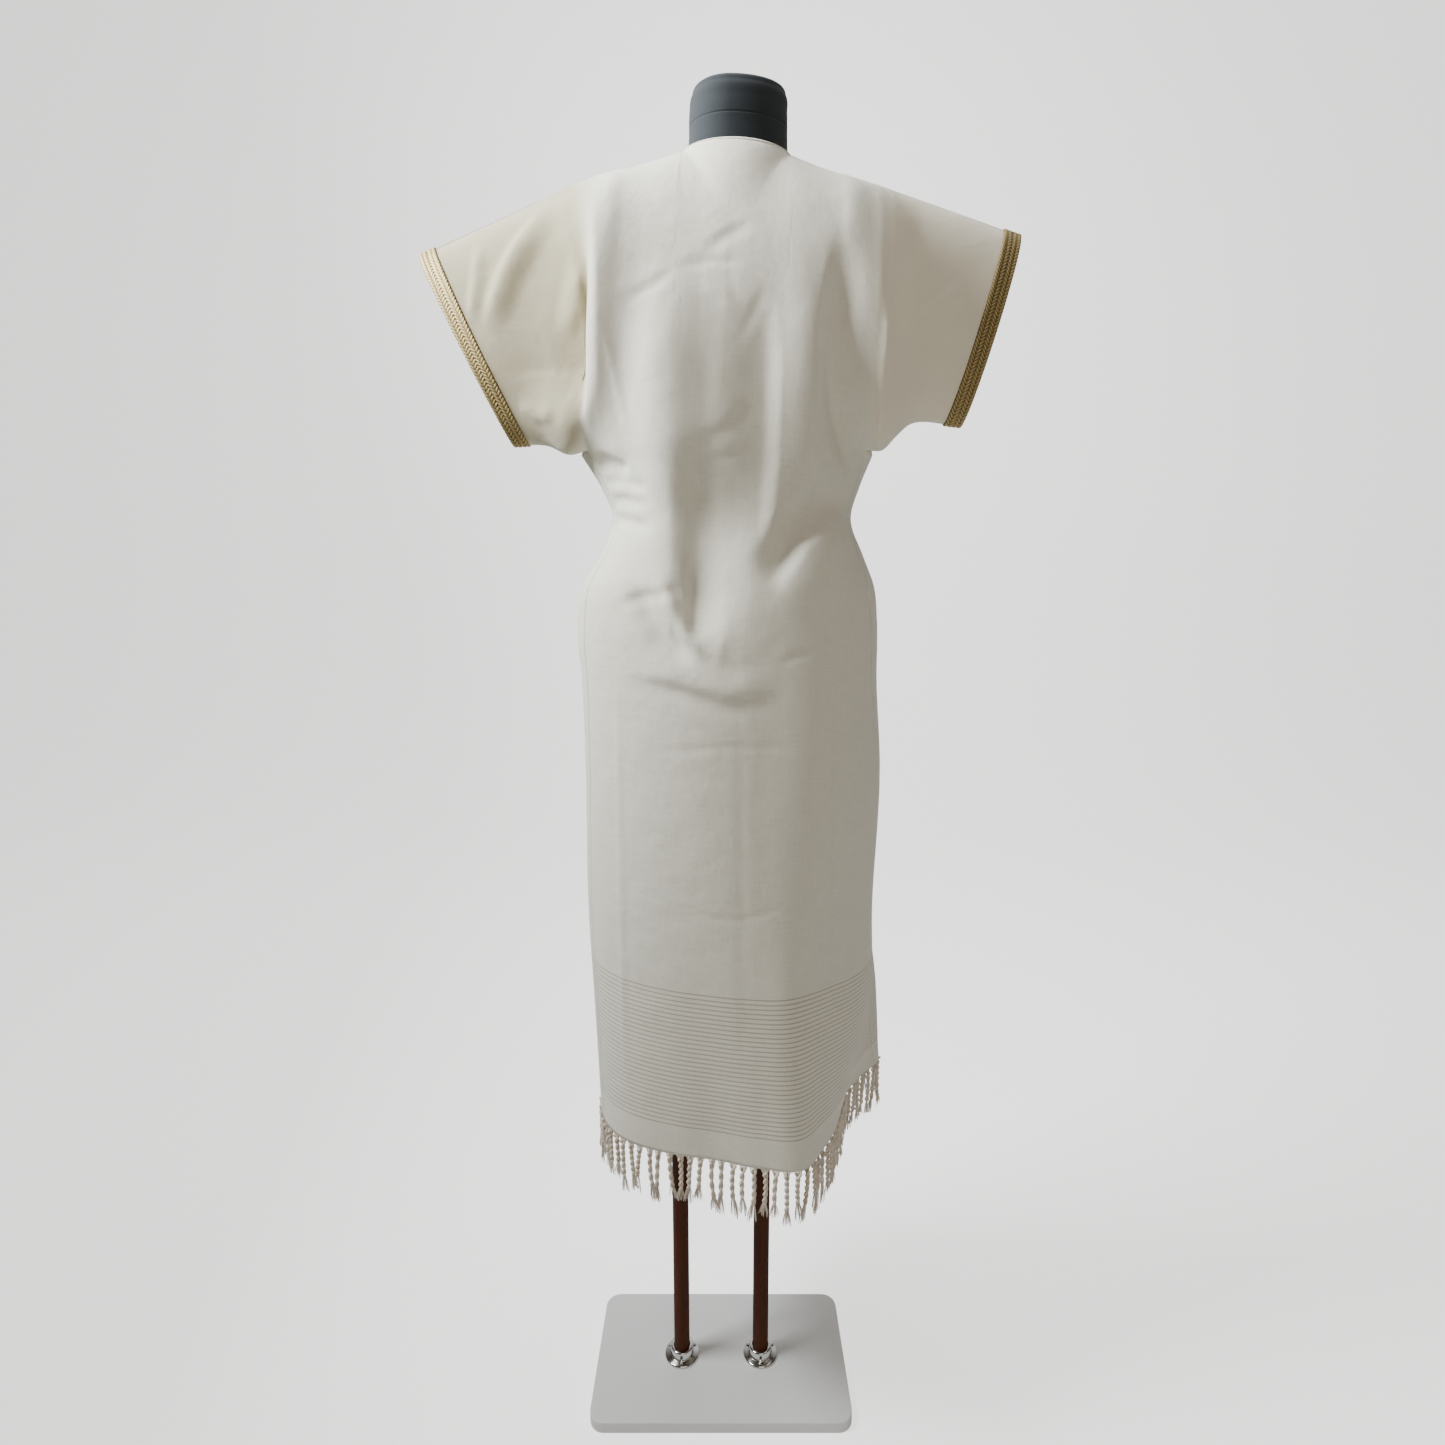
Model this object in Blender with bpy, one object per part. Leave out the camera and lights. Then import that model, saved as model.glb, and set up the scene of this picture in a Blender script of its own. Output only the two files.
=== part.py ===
"""A short-sleeved kaftan dress with a fringed hem, worn by a limbless dress form on a two-pole stand.

Metres, +Z up. The origin is the middle of the base board's underside. The dress shows its back to -Y,
and the wearer's left is -X. Heights in the tables are above the board's top, and lift() adds the board.
"""
import math

import bmesh
import bpy
import numpy as np

# Driving dimensions
GAP = 0.0003                 # space kept between two pieces that touch
CLOTH = 0.0016               # cloth wall
BOARD = (0.36, 0.20, 0.016)  # base board, width, depth and thickness
HEM_HEIGHT = 0.420
UNDERARM_HEIGHT = 1.267
BRAID_WIDTH = 0.022
BRAID_THICKNESS = 0.0012
POLE_SPACING = 0.115
POLE_RADIUS = 0.01125
FORM_BOTTOM = 0.800

# Grid of each panel: torso columns between the side seams, sleeve columns beyond them, rows up from the hem
TORSO_COLUMNS = 24
SLEEVE_COLUMNS = 6
NECK_COLUMNS = 8
SKIRT_ROWS = 11
WAIST_ROWS = 13
YOKE_ROWS = 13
SKIRT_TOP = 0.960
UNDERARM_ROW = SKIRT_ROWS + WAIST_ROWS
TOP_ROW = UNDERARM_ROW + YOKE_ROWS
LAST_COLUMN = TORSO_COLUMNS + 2 * SLEEVE_COLUMNS
LEFT_SEAM = SLEEVE_COLUMNS
RIGHT_SEAM = SLEEVE_COLUMNS + TORSO_COLUMNS
NECK_LEFT = LEFT_SEAM + (TORSO_COLUMNS - NECK_COLUMNS) // 2
NECK_RIGHT = NECK_LEFT + NECK_COLUMNS

# The tube of the dress by height: its reach to each side, the directions of its two side seams in degrees
# (0 is +X, 90 the front, 270 the back), and how far each seam is tucked in, as a share of the radius
BODY_COLUMNS = ("height", "left", "right", "back", "front", "left_seam", "right_seam", "left_tuck", "right_tuck")
BODY_SECTIONS = (
    (0.420, -0.160, 0.257, -0.143, 0.175, 198, 378, 0.00, 0.00),
    (0.560, -0.167, 0.246, -0.142, 0.165, 197, 368, 0.00, 0.00),
    (0.706, -0.173, 0.218, -0.141, 0.152, 196, 357, 0.00, 0.00),
    (0.900, -0.171, 0.203, -0.140, 0.134, 196, 348, 0.00, 0.00),
    (1.000, -0.172, 0.193, -0.137, 0.124, 197, 344, 0.00, 0.00),
    (1.073, -0.175, 0.191, -0.132, 0.118, 197, 343, 0.00, 0.00),
    (1.115, -0.168, 0.186, -0.127, 0.115, 197, 343, 0.00, 0.00),
    (1.150, -0.147, 0.173, -0.122, 0.113, 196, 344, 0.01, 0.01),
    (1.195, -0.131, 0.158, -0.117, 0.114, 195, 345, 0.02, 0.02),
    (1.230, -0.143, 0.166, -0.118, 0.120, 196, 344, 0.00, 0.00),
    (1.267, -0.166, 0.181, -0.121, 0.128, 197, 342, 0.00, 0.00),
)

# The skirt's hang at the hem: radius by direction, as a share of the plain oval
HEM_HANG = (
    (0, 0.63), (12, 0.78), (21, 1.00), (38, 1.04), (75, 0.99), (110, 1.03), (150, 0.98), (185, 1.03),
    (208, 1.06), (232, 0.97), (248, 0.93), (270, 0.985), (288, 1.03), (301, 0.88), (318, 0.73), (340, 0.610),
)
HANG_STARTS = 1.020
HANG_POWER = 2.2             # how late on the way down the hang sets in
TUCK_WIDTH = 13.0            # degrees on each side of a seam that its tuck draws in

# Seams as lines of points x, y, height: shoulder and overarm from the neck out, underarm from the armpit out
OVERARM_LEFT = (
    (-0.043, -0.003, 1.5890), (-0.095, 0.000, 1.5745), (-0.170, 0.000, 1.5565), (-0.250, 0.000, 1.5250),
    (-0.346, 0.000, 1.4870),
)
OVERARM_RIGHT = (
    (0.078, -0.003, 1.5855), (0.115, 0.000, 1.5725), (0.190, 0.000, 1.5550), (0.259, 0.000, 1.5340),
    (0.343, 0.000, 1.5080),
)
UNDERARM_LEFT = ((-0.177, -0.031, 1.2650), (-0.203, -0.018, 1.2765), (-0.2465, -0.005, 1.2790))
UNDERARM_RIGHT = (
    (0.188, -0.033, 1.2700), (0.203, -0.026, 1.2850), (0.2200, -0.018, 1.3000), (0.285, -0.005, 1.3010),
)
ARMPIT_COLUMNS = (2, 4)      # columns on the sleeve's and the torso's side over which an armpit's fold opens
ARMPIT_RISE = 1 / 3          # share of the yoke's height within which it does so
SHOULDER_COLUMNS = 8         # columns between the neck and the armpit column, on each side
NAPE = (0.0205, -0.052, 1.5860)
FRONT_NECK = (0.0180, 0.098, 1.4700)

# How far the yoke's columns belly out: at the cuff, then by columns in from a side seam; the back's right side
# has a table of its own
CUFF_BELLY = 0.030
FULLNESS = (
    (0, 0.072), (1, 0.068), (2, 0.059), (3, 0.046), (4, 0.034), (5, 0.026), (7, 0.015), (9, 0.004), (11, 0.000),
)
RIGHT_BACK_FULLNESS = (
    (0, 0.064), (1, 0.058), (2, 0.047), (3, 0.037), (4, 0.029), (5, 0.024), (7, 0.015), (9, 0.004), (11, 0.000),
)
FRONT_SHARE = 0.97           # the front's fullness as a share of the back's
SLEEVE_FADE = (1.5, 5.5)     # columns outside the side seam where the sleeve's oval fades from, and over how many
SLEEVE_TAPER = 1.3           # how fast the sleeve's belly grows towards the armhole
NECK_POWER = 1.4             # how softly the columns under the neckline lose the shoulder's roundness
NECK_FALL = 1.8              # how late on the way up they lean in towards the neckline

# Large folds as a row each: height of the fold (minus for a trough), its width to the left and to the right
# of its line, then the line's points x, height from its upper end
BACK_FOLDS = (
    ("left blade ridge", 0.010, 0.060, 0.032, ((-0.040, 1.440), (-0.068, 1.360), (-0.077, 1.290), (-0.066, 1.110))),
    ("centre trough", -0.010, 0.030, 0.045, ((-0.008, 1.410), (-0.022, 1.290), (-0.028, 1.180), (-0.030, 1.050))),
    ("right blade ridge", 0.007, 0.045, 0.026, ((0.062, 1.410), (0.050, 1.300), (0.043, 1.240), (0.028, 1.150))),
    ("right trough", -0.004, 0.026, 0.045, ((0.088, 1.340), (0.082, 1.270), (0.074, 1.200), (0.058, 1.120))),
    ("right waist trough", -0.010, 0.030, 0.030, ((0.138, 1.225), (0.100, 1.168), (0.056, 1.122))),
    ("right armhole valley", -0.006, 0.022, 0.030, ((0.134, 1.490), (0.126, 1.400), (0.128, 1.310), (0.140, 1.230))),
    ("left armhole ridge", 0.006, 0.016, 0.040, ((-0.150, 1.450), (-0.149, 1.360), (-0.140, 1.250))),
    ("left armhole valley", -0.008, 0.034, 0.016, ((-0.178, 1.470), (-0.177, 1.380), (-0.166, 1.290))),
    ("hip hook", -0.008, 0.022, 0.018, ((-0.100, 1.108), (-0.078, 1.090), (-0.040, 1.050))),
    ("seat droop", -0.005, 0.018, 0.030, ((-0.106, 1.014), (-0.015, 0.990), (0.055, 0.987))),
)
FRONT_FOLDS = (
    ("left bust fold", 0.009, 0.040, 0.030, ((-0.060, 1.330), (-0.058, 1.240), (-0.050, 1.140))),
    ("front trough", -0.008, 0.035, 0.035, ((0.012, 1.360), (0.016, 1.250), (0.010, 1.090))),
    ("right bust fold", 0.008, 0.030, 0.040, ((0.086, 1.320), (0.088, 1.220), (0.078, 1.130))),
    ("right waist trough", -0.009, 0.030, 0.028, ((0.136, 1.220), (0.104, 1.160), (0.060, 1.110))),
    ("left waist trough", -0.007, 0.028, 0.026, ((-0.118, 1.215), (-0.090, 1.150), (-0.050, 1.100))),
)

FOLD_FADE = (0.35, 0.30)     # shares of a fold's line over which it rises at its upper and sinks at its lower end
SEAM_CALM = 2.5              # grid steps from a seam within which the folds fade

# Dress form by height: reach of its body to the left and right, to the back and to the front of its middle
FORM_MIDDLE = 0.010
FORM_SECTIONS = (
    (0.800, 0.146, 0.097, 0.083),
    (0.806, 0.152, 0.103, 0.087),
    (0.880, 0.156, 0.109, 0.090),
    (0.980, 0.162, 0.116, 0.092),
    (1.050, 0.158, 0.112, 0.091),
    (1.110, 0.142, 0.099, 0.089),
    (1.150, 0.126, 0.089, 0.087),
    (1.195, 0.116, 0.082, 0.087),
    (1.240, 0.114, 0.083, 0.094),
    (1.285, 0.122, 0.088, 0.108),
    (1.330, 0.138, 0.090, 0.110),
    (1.390, 0.152, 0.087, 0.092),
    (1.440, 0.162, 0.077, 0.068),
    (1.490, 0.168, 0.058, 0.045),
    (1.525, 0.169, 0.040, 0.029),
    (1.545, 0.165, 0.029, 0.019),
)
SHOULDER_ENDS = (0.160, 0.107)   # half widths between which the form's shoulder carries the cloth
RIDGE_BACK = 0.018               # the shoulder ridge's reach to the back
RIDGE_FRONT = (0.012, 0.002)     # and to the front, at its outer and its inner end
# The neck and its flare into the chest: height, reach to the left, right, back and front of the same middle
NECK_SECTIONS = (
    (1.4800, 0.056, 0.074, 0.060, 0.066),
    (1.5200, 0.052, 0.070, 0.053, 0.056),
    (1.5450, 0.049, 0.066, 0.047, 0.050),
    (1.5650, 0.0465, 0.0640, 0.043, 0.048),
    (1.5780, 0.0455, 0.0635, 0.0405, 0.049),
    (1.5880, 0.0450, 0.0640, 0.0395, 0.051),
    (1.6050, 0.0450, 0.0645, 0.0390, 0.054),
    (1.6350, 0.0450, 0.0645, 0.0390, 0.055),
    (1.6500, 0.0425, 0.0635, 0.0370, 0.053),
    (1.6600, 0.0340, 0.0550, 0.0290, 0.045),
    (1.6640, 0.0190, 0.0400, 0.0160, 0.031),
)
NECK_RINGS = (1.5728, 1.5780, 1.5835, 1.5940, 1.6150, 1.6350, 1.6460, 1.6540, 1.6600, 1.6640)
SHOULDER_CLEARANCE = 0.0010
FORM_SIDES = 40
FORM_RINGS = np.concatenate(((0.800, 0.806), np.linspace(0.850, 1.490, 15), (1.512, 1.530, 1.545)))
BLEND_POWER = 8                  # sharpness of the blend between the form's body and its neck

# Fringe
STRANDS = 40                 # locks below each panel
STRIP_HEIGHT = 0.003
ROOT_WIDTH = 0.0056
FRINGE_LENGTH = 0.076
LOCK_RINGS = ((0.45, 0.0021, 0.0016), (0.80, 0.0033, 0.0022), (1.0, 0.0024, 0.0016))  # share, half width and depth
FRINGE_SEED = 11

# Stand fittings
FLANGE_PLATE_RADIUS = 0.025
FLANGE_PLATE = 0.0035
COLLAR_RADIUS = 0.0165
COLLAR_HEIGHT = 0.016
POLE_CLEARANCE = 0.0003
SCREW_RADIUS = 0.0032
SCREW_CIRCLE = 0.0205
GRUB_RADIUS = 0.0020


def lift(points):
    """Heights above the board's top become heights above the floor."""
    raised = np.array(points, dtype=float)
    raised[..., 2] += BOARD[2]
    return raised


def smooth(at, knots, values):
    """A cubic through the values at the knots, whose slope at each knot is a parabola's through its neighbours."""
    knots = np.asarray(knots, dtype=float)
    values = np.asarray(values, dtype=float)
    slopes = np.gradient(values, knots, axis=0)
    at = np.clip(np.asarray(at, dtype=float), knots[0], knots[-1])
    cell = np.clip(np.searchsorted(knots, at, side="right") - 1, 0, len(knots) - 2)
    span = knots[cell + 1] - knots[cell]
    t = (at - knots[cell]) / span
    if values.ndim == 2:
        span = span[..., None]
        t = t[..., None]
    start = (1 + 2 * t) * (1 - t) ** 2 * values[cell] + t * (1 - t) ** 2 * span * slopes[cell]
    end = t ** 2 * (3 - 2 * t) * values[cell + 1] + t ** 2 * (t - 1) * span * slopes[cell + 1]
    return start + end


def ease(t):
    """0 to 1 with level ends."""
    t = np.clip(t, 0.0, 1.0)
    return t * t * (3 - 2 * t)


def hang_share(directions):
    """Radius of the hanging hem by direction in degrees, as a share of the plain oval."""
    table = np.array(HEM_HANG)
    before = table[-3:] - (360, 0)
    after = table[:3] + (360, 0)
    table = np.vstack((before, table, after))
    return smooth(np.mod(directions, 360.0), table[:, 0], table[:, 1])


def body_section(height):
    """The named measures of the dress's tube at a height."""
    table = np.array(BODY_SECTIONS)
    values = [float(smooth(height, table[:, 0], table[:, k])) for k in range(len(BODY_COLUMNS))]
    return dict(zip(BODY_COLUMNS, values))


def body_ring(height, directions):
    """Outer points of the tube at a height, in the given directions: an oval, its hang and its tucked seams."""
    section = body_section(height)
    middle = ((section["left"] + section["right"]) / 2, (section["back"] + section["front"]) / 2)
    half_width = (section["right"] - section["left"]) / 2
    half_depth = (section["front"] - section["back"]) / 2
    turn = np.radians(directions)
    radius = 1 / np.hypot(np.cos(turn) / half_width, np.sin(turn) / half_depth)
    hang = np.clip((HANG_STARTS - height) / (HANG_STARTS - HEM_HEIGHT), 0, 1) ** HANG_POWER
    radius *= 1 + (hang_share(directions) - 1) * hang
    for side in ("left", "right"):
        away = (directions - section[side + "_seam"] + 180) % 360 - 180
        radius *= 1 - section[side + "_tuck"] * np.exp(-(away / TUCK_WIDTH) ** 2)
    x = middle[0] + radius * np.cos(turn)
    y = middle[1] + radius * np.sin(turn)
    return np.stack((x, y, np.full_like(x, height)), axis=-1)


def body_row(height, front):
    """One panel's points across the tube from the left seam to the right, evenly spaced along the cloth."""
    section = body_section(height)
    end = section["right_seam"] - (360 if front else 0)
    dense = body_ring(height, np.linspace(section["left_seam"], end, 400))
    steps = np.linalg.norm(np.diff(dense, axis=0), axis=1)
    along = np.concatenate(((0.0,), np.cumsum(steps)))
    wanted = np.linspace(0, along[-1], TORSO_COLUMNS + 1)
    return np.stack([np.interp(wanted, along, dense[:, axis]) for axis in range(3)], axis=-1)


def seam_line(points, shares):
    """Points along a smooth line through a seam's points, at shares of its length."""
    points = np.array(points)
    steps = np.linalg.norm(np.diff(points, axis=0), axis=1)
    along = np.concatenate(((0.0,), np.cumsum(steps)))
    return smooth(np.asarray(shares) * along[-1], along, points)


def sleeve_shares(length):
    """Places of the sleeve columns from the armpit column out, the last one a braid's width from the cuff."""
    band = 1 - BRAID_WIDTH / length
    return np.append(np.linspace(0, band, SLEEVE_COLUMNS), 1.0)


def top_line(front):
    """The panel's upper edge across all columns: left overarm, shoulder, neck, shoulder, right overarm."""
    line = np.zeros((LAST_COLUMN + 1, 3))
    for points, columns in (
        (OVERARM_LEFT, range(NECK_LEFT, -1, -1)),
        (OVERARM_RIGHT, range(NECK_RIGHT, LAST_COLUMN + 1)),
    ):
        points = np.array(points)
        steps = np.linalg.norm(np.diff(points, axis=0), axis=1)
        shoulder = steps[:2].sum() / steps.sum()
        sleeve = shoulder + (1 - shoulder) * sleeve_shares(steps[2:].sum())
        shares = np.concatenate((np.linspace(0, shoulder, SHOULDER_COLUMNS + 1), sleeve[1:]))
        line[list(columns)] = seam_line(points, shares)
    share = np.linspace(0, 1, NECK_COLUMNS + 1)
    left, right = line[NECK_LEFT], line[NECK_RIGHT]
    middle = np.array(FRONT_NECK if front else NAPE)
    sweep = np.sin(np.pi * share)[:, None]
    across = left + (right - left) * ((1 - np.cos(np.pi * share)) / 2)[:, None]
    bow = middle - (left + right) / 2
    neck = across + bow * sweep
    if front:
        neck[:, 2] = across[:, 2] + bow[2] * sweep[:, 0] ** 1.5
    line[NECK_LEFT:NECK_RIGHT + 1] = neck
    return line


def underarm_line(torso_row):
    """The lower edge of yoke and sleeves across all columns: underarm seams outside the torso's row."""
    line = np.zeros((LAST_COLUMN + 1, 3))
    line[LEFT_SEAM:RIGHT_SEAM + 1] = torso_row
    for start, points, columns in (
        (torso_row[0], UNDERARM_LEFT, range(LEFT_SEAM, -1, -1)),
        (torso_row[-1], UNDERARM_RIGHT, range(RIGHT_SEAM, LAST_COLUMN + 1)),
    ):
        seam = np.vstack((start, points))
        length = np.linalg.norm(np.diff(seam, axis=0), axis=1).sum()
        line[list(columns)] = seam_line(seam, sleeve_shares(length))
    return line


def column_shape(front):
    """For each column: how far it rises as a sleeve (1) or a torso (0), how far as neck, and its belly's depth."""
    column = np.arange(LAST_COLUMN + 1)
    into_torso = np.minimum(column - LEFT_SEAM, RIGHT_SEAM - column)
    sleeve = 1 - ease((into_torso + SLEEVE_FADE[0]) / SLEEVE_FADE[1])
    neck_share = np.clip((column - NECK_LEFT) / NECK_COLUMNS, 0, 1)
    neck = np.sin(np.pi * neck_share) ** NECK_POWER
    inwards = 1 - np.clip(-into_torso / SLEEVE_COLUMNS, 0, 1)
    belly = np.zeros(len(column))
    on_left = column < len(column) / 2
    for fullness, on_side in ((FULLNESS, on_left), (FULLNESS if front else RIGHT_BACK_FULLNESS, ~on_left)):
        table = np.array(fullness)
        torso_belly = smooth(into_torso, table[:, 0], table[:, 1])
        sleeve_belly = CUFF_BELLY + (table[0, 1] - CUFF_BELLY) * inwards ** SLEEVE_TAPER
        belly[on_side] = np.where(into_torso < 0, sleeve_belly, torso_belly)[on_side]
    return sleeve, neck, belly * (FRONT_SHARE if front else 1)


def yoke_rows(front, lower):
    """Rows from the underarm line to the top line: quarter ovals on the torso, half ovals on the sleeves."""
    upper = top_line(front)
    sleeve, neck, belly = column_shape(front)
    rise = np.linspace(0, 1, YOKE_ROWS + 1)[:, None]
    spread = lower[:, 0].copy()
    for start, end in (
        (LEFT_SEAM - ARMPIT_COLUMNS[0], LEFT_SEAM + ARMPIT_COLUMNS[1]),
        (RIGHT_SEAM - ARMPIT_COLUMNS[1], RIGHT_SEAM + ARMPIT_COLUMNS[0]),
    ):
        spread[start:end + 1] = np.linspace(lower[start, 0], lower[end, 0], end - start + 1)
    lower_x = lower[:, 0] + (spread - lower[:, 0]) * ease(rise / ARMPIT_RISE)
    torso_up = (1 - neck) * np.sin(np.pi * rise / 2) + neck * rise
    torso_in = (1 - neck) * (1 - np.cos(np.pi * rise / 2)) + neck * rise ** NECK_FALL
    arm = (1 - np.cos(np.pi * rise)) / 2
    up = (1 - sleeve) * torso_up + sleeve * arm
    inward = (1 - sleeve) * torso_in + sleeve * arm
    x = lower_x + (upper[:, 0] - lower_x) * up
    y = lower[:, 1] + (upper[:, 1] - lower[:, 1]) * inward
    z = lower[:, 2] + (upper[:, 2] - lower[:, 2]) * up
    outward = 1 if front else -1
    y += outward * belly * np.sin(np.pi * rise)
    return np.stack((x, y, z), axis=-1)


def panel_base(front):
    """A panel's outer points without its folds, as rows by columns, and which of them exist."""
    points = np.zeros((TOP_ROW + 1, LAST_COLUMN + 1, 3))
    exists = np.zeros(points.shape[:2], dtype=bool)
    heights = np.concatenate((
        np.linspace(HEM_HEIGHT, SKIRT_TOP, SKIRT_ROWS + 1),
        np.linspace(SKIRT_TOP, UNDERARM_HEIGHT, WAIST_ROWS + 1)[1:],
    ))
    for row, height in enumerate(heights):
        points[row, LEFT_SEAM:RIGHT_SEAM + 1] = body_row(height, front)
        exists[row, LEFT_SEAM:RIGHT_SEAM + 1] = True
    lower = underarm_line(points[UNDERARM_ROW, LEFT_SEAM:RIGHT_SEAM + 1])
    points[UNDERARM_ROW:] = yoke_rows(front, lower)
    exists[UNDERARM_ROW:] = True
    return points, exists


def seam_places():
    """Which grid places lie on a seam: side, underarm, overarm and shoulder."""
    seam = np.zeros((TOP_ROW + 1, LAST_COLUMN + 1), dtype=bool)
    seam[:UNDERARM_ROW + 1, (LEFT_SEAM, RIGHT_SEAM)] = True
    seam[UNDERARM_ROW, :LEFT_SEAM] = True
    seam[UNDERARM_ROW, RIGHT_SEAM:] = True
    seam[TOP_ROW, :NECK_LEFT + 1] = True
    seam[TOP_ROW, NECK_RIGHT:] = True
    return seam


def fold_field(points, folds, seam):
    """How far the folds push each point out: each is a cosine hump across its line, fading to both its ends."""
    rows, columns = np.indices(seam.shape)
    seam_rows, seam_columns = np.nonzero(seam)
    away = np.maximum(np.abs(rows[..., None] - seam_rows), np.abs(columns[..., None] - seam_columns)).min(axis=-1)
    push = np.zeros(seam.shape)
    for _, height, left, right, line in folds:
        line = np.array(line)
        lengths = np.linalg.norm(np.diff(line, axis=0), axis=1)
        passed = np.concatenate(((0.0,), np.cumsum(lengths))) / lengths.sum()
        nearest = np.full(seam.shape, np.inf)
        hump = np.zeros(seam.shape)
        for start, end, before, share in zip(line, line[1:], passed, np.diff(passed)):
            run = end - start
            dx = points[..., 0] - start[0]
            dz = points[..., 2] - start[1]
            t = np.clip((dx * run[0] + dz * run[1]) / (run @ run), 0, 1)
            across = np.hypot(dx - t * run[0], dz - t * run[1])
            to_right = dx * run[1] - dz * run[0] < 0
            width = np.where(to_right, right, left)
            along = before + t * share
            fade = ease(along / FOLD_FADE[0]) * ease((1 - along) / FOLD_FADE[1])
            value = height * fade * (1 + np.cos(np.pi * np.clip(across / width, 0, 1))) / 2
            closer = across < nearest
            hump = np.where(closer, value, hump)
            nearest = np.minimum(nearest, across)
        push += hump
    return push * ease(away / SEAM_CALM)


def grid_quads(exists, front):
    """Quads of a panel's grid, each wound to face outwards and split from its first corner to its third."""
    quads = []
    for row in range(TOP_ROW):
        for column in range(LAST_COLUMN):
            near = (row, column)
            far = (row + 1, column + 1)
            if not (exists[near] and exists[row, column + 1] and exists[row + 1, column] and exists[far]):
                continue
            beside = (row, column + 1)
            above = (row + 1, column)
            quads.append((near, above, far, beside) if front else (near, beside, far, above))
    return quads


def grid_normals(points, quads):
    """Outward face normals summed at each grid place, each weighted by its face's angle there."""
    normals = np.zeros_like(points)
    for a, b, c, d in quads:
        for face in ((a, b, c), (a, c, d)):
            corners = np.array([points[place] for place in face])
            sides = unit(np.roll(corners, -1, axis=0) - corners)
            outward = unit(np.cross(sides[0], sides[1]))
            for k, place in enumerate(face):
                normals[place] += outward * math.acos(np.clip(-sides[k] @ sides[k - 1], -1, 1))
    return normals


def unit(vectors):
    length = np.linalg.norm(vectors, axis=-1, keepdims=True)
    return vectors / np.where(length > 0, length, 1)


def cloth_panels():
    """Both panels' outer points, unit normals shared along the seams, quads and existing places."""
    seam = seam_places()
    panels = {}
    for name, front, folds in (("back", False, BACK_FOLDS), ("front", True, FRONT_FOLDS)):
        points, exists = panel_base(front)
        quads = grid_quads(exists, front)
        push = fold_field(points, folds, seam)
        points = points + unit(grid_normals(points, quads)) * push[..., None]
        panels[name] = {"points": points, "exists": exists, "quads": quads, "front": front}
    sums = {name: grid_normals(panel["points"], panel["quads"]) for name, panel in panels.items()}
    shared = sums["back"] + sums["front"]
    for name, panel in panels.items():
        panel["normals"] = unit(np.where(seam[..., None], shared, sums[name]))
        panel["normals"][0] = unit(panel["normals"][0] * (1, 1, 0))
    return panels, seam


def part_seams(panels, seam):
    """Both panels' points with their seam edges half a gap each apart, square to the seam and to its normal."""
    parted = {name: panel["points"].copy() for name, panel in panels.items()}
    back, front = panels["back"]["points"], panels["front"]["points"]
    exists = panels["back"]["exists"]
    for row, column in zip(*np.nonzero(seam)):
        here = back[row, column]
        along = []
        towards_front = np.zeros(3)
        for step_row in (-1, 0, 1):
            for step_column in (-1, 0, 1):
                place = (row + step_row, column + step_column)
                inside = 0 <= place[0] <= TOP_ROW and 0 <= place[1] <= LAST_COLUMN
                if place == (row, column) or not inside or not exists[place]:
                    continue
                if not seam[place]:
                    towards_front += front[place] - back[place]
                elif step_row == 0 or step_column == 0:
                    along.append(back[place])
        tangent = along[-1] - along[0] if len(along) > 1 else along[0] - here
        across = unit(np.cross(tangent, panels["back"]["normals"][row, column]))
        across *= np.sign(across @ towards_front)
        parted["front"][row, column] += across * GAP / 2
        parted["back"][row, column] -= across * GAP / 2
    return parted


def add_object(name, vertices, faces, material, round_angle=None):
    """One closed mesh object, shaded smooth up to the given angle."""
    mesh = bpy.data.meshes.new(name)
    mesh.from_pydata([tuple(map(float, vertex)) for vertex in vertices], [], faces)
    mesh.validate()
    if round_angle is not None:
        mesh.shade_smooth()
        mesh.set_sharp_from_angle(angle=math.radians(round_angle))
    mesh.materials.append(material)
    piece = bpy.data.objects.new(name, mesh)
    bpy.context.scene.collection.objects.link(piece)
    return piece


def add_wall(name, points, normals, quads, inner, outer, material):
    """A closed wall between two offsets along the normals, with a rim round every open edge of its quads.

    A rim's quads are split from their higher place's outer point, so that the rims of two panels that share
    a seam's places and normals stay side by side.
    """
    places = sorted({place for quad in quads for place in quad})
    number = {place: index for index, place in enumerate(places)}
    count = len(places)
    base = np.array([points[place] for place in places])
    out = np.array([normals[place] for place in places])
    vertices = np.vstack((base + out * outer, base + out * inner))
    triangles = []
    for quad in quads:
        a, b, c, d = (number[place] for place in quad)
        triangles.append((a, b, c))
        triangles.append((a, c, d))
    edges = {edge for a, b, c in triangles for edge in ((a, b), (b, c), (c, a))}
    faces = list(triangles)
    faces += [(c + count, b + count, a + count) for a, b, c in triangles]
    for start, end in sorted(edges):
        if (end, start) not in edges and start < end:
            faces.append((end, start, start + count))
            faces.append((end, start + count, end + count))
        elif (end, start) not in edges:
            faces.append((end, start, end + count))
            faces.append((start, start + count, end + count))
    return add_object(name, lift(vertices), faces, material, 50)


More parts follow.
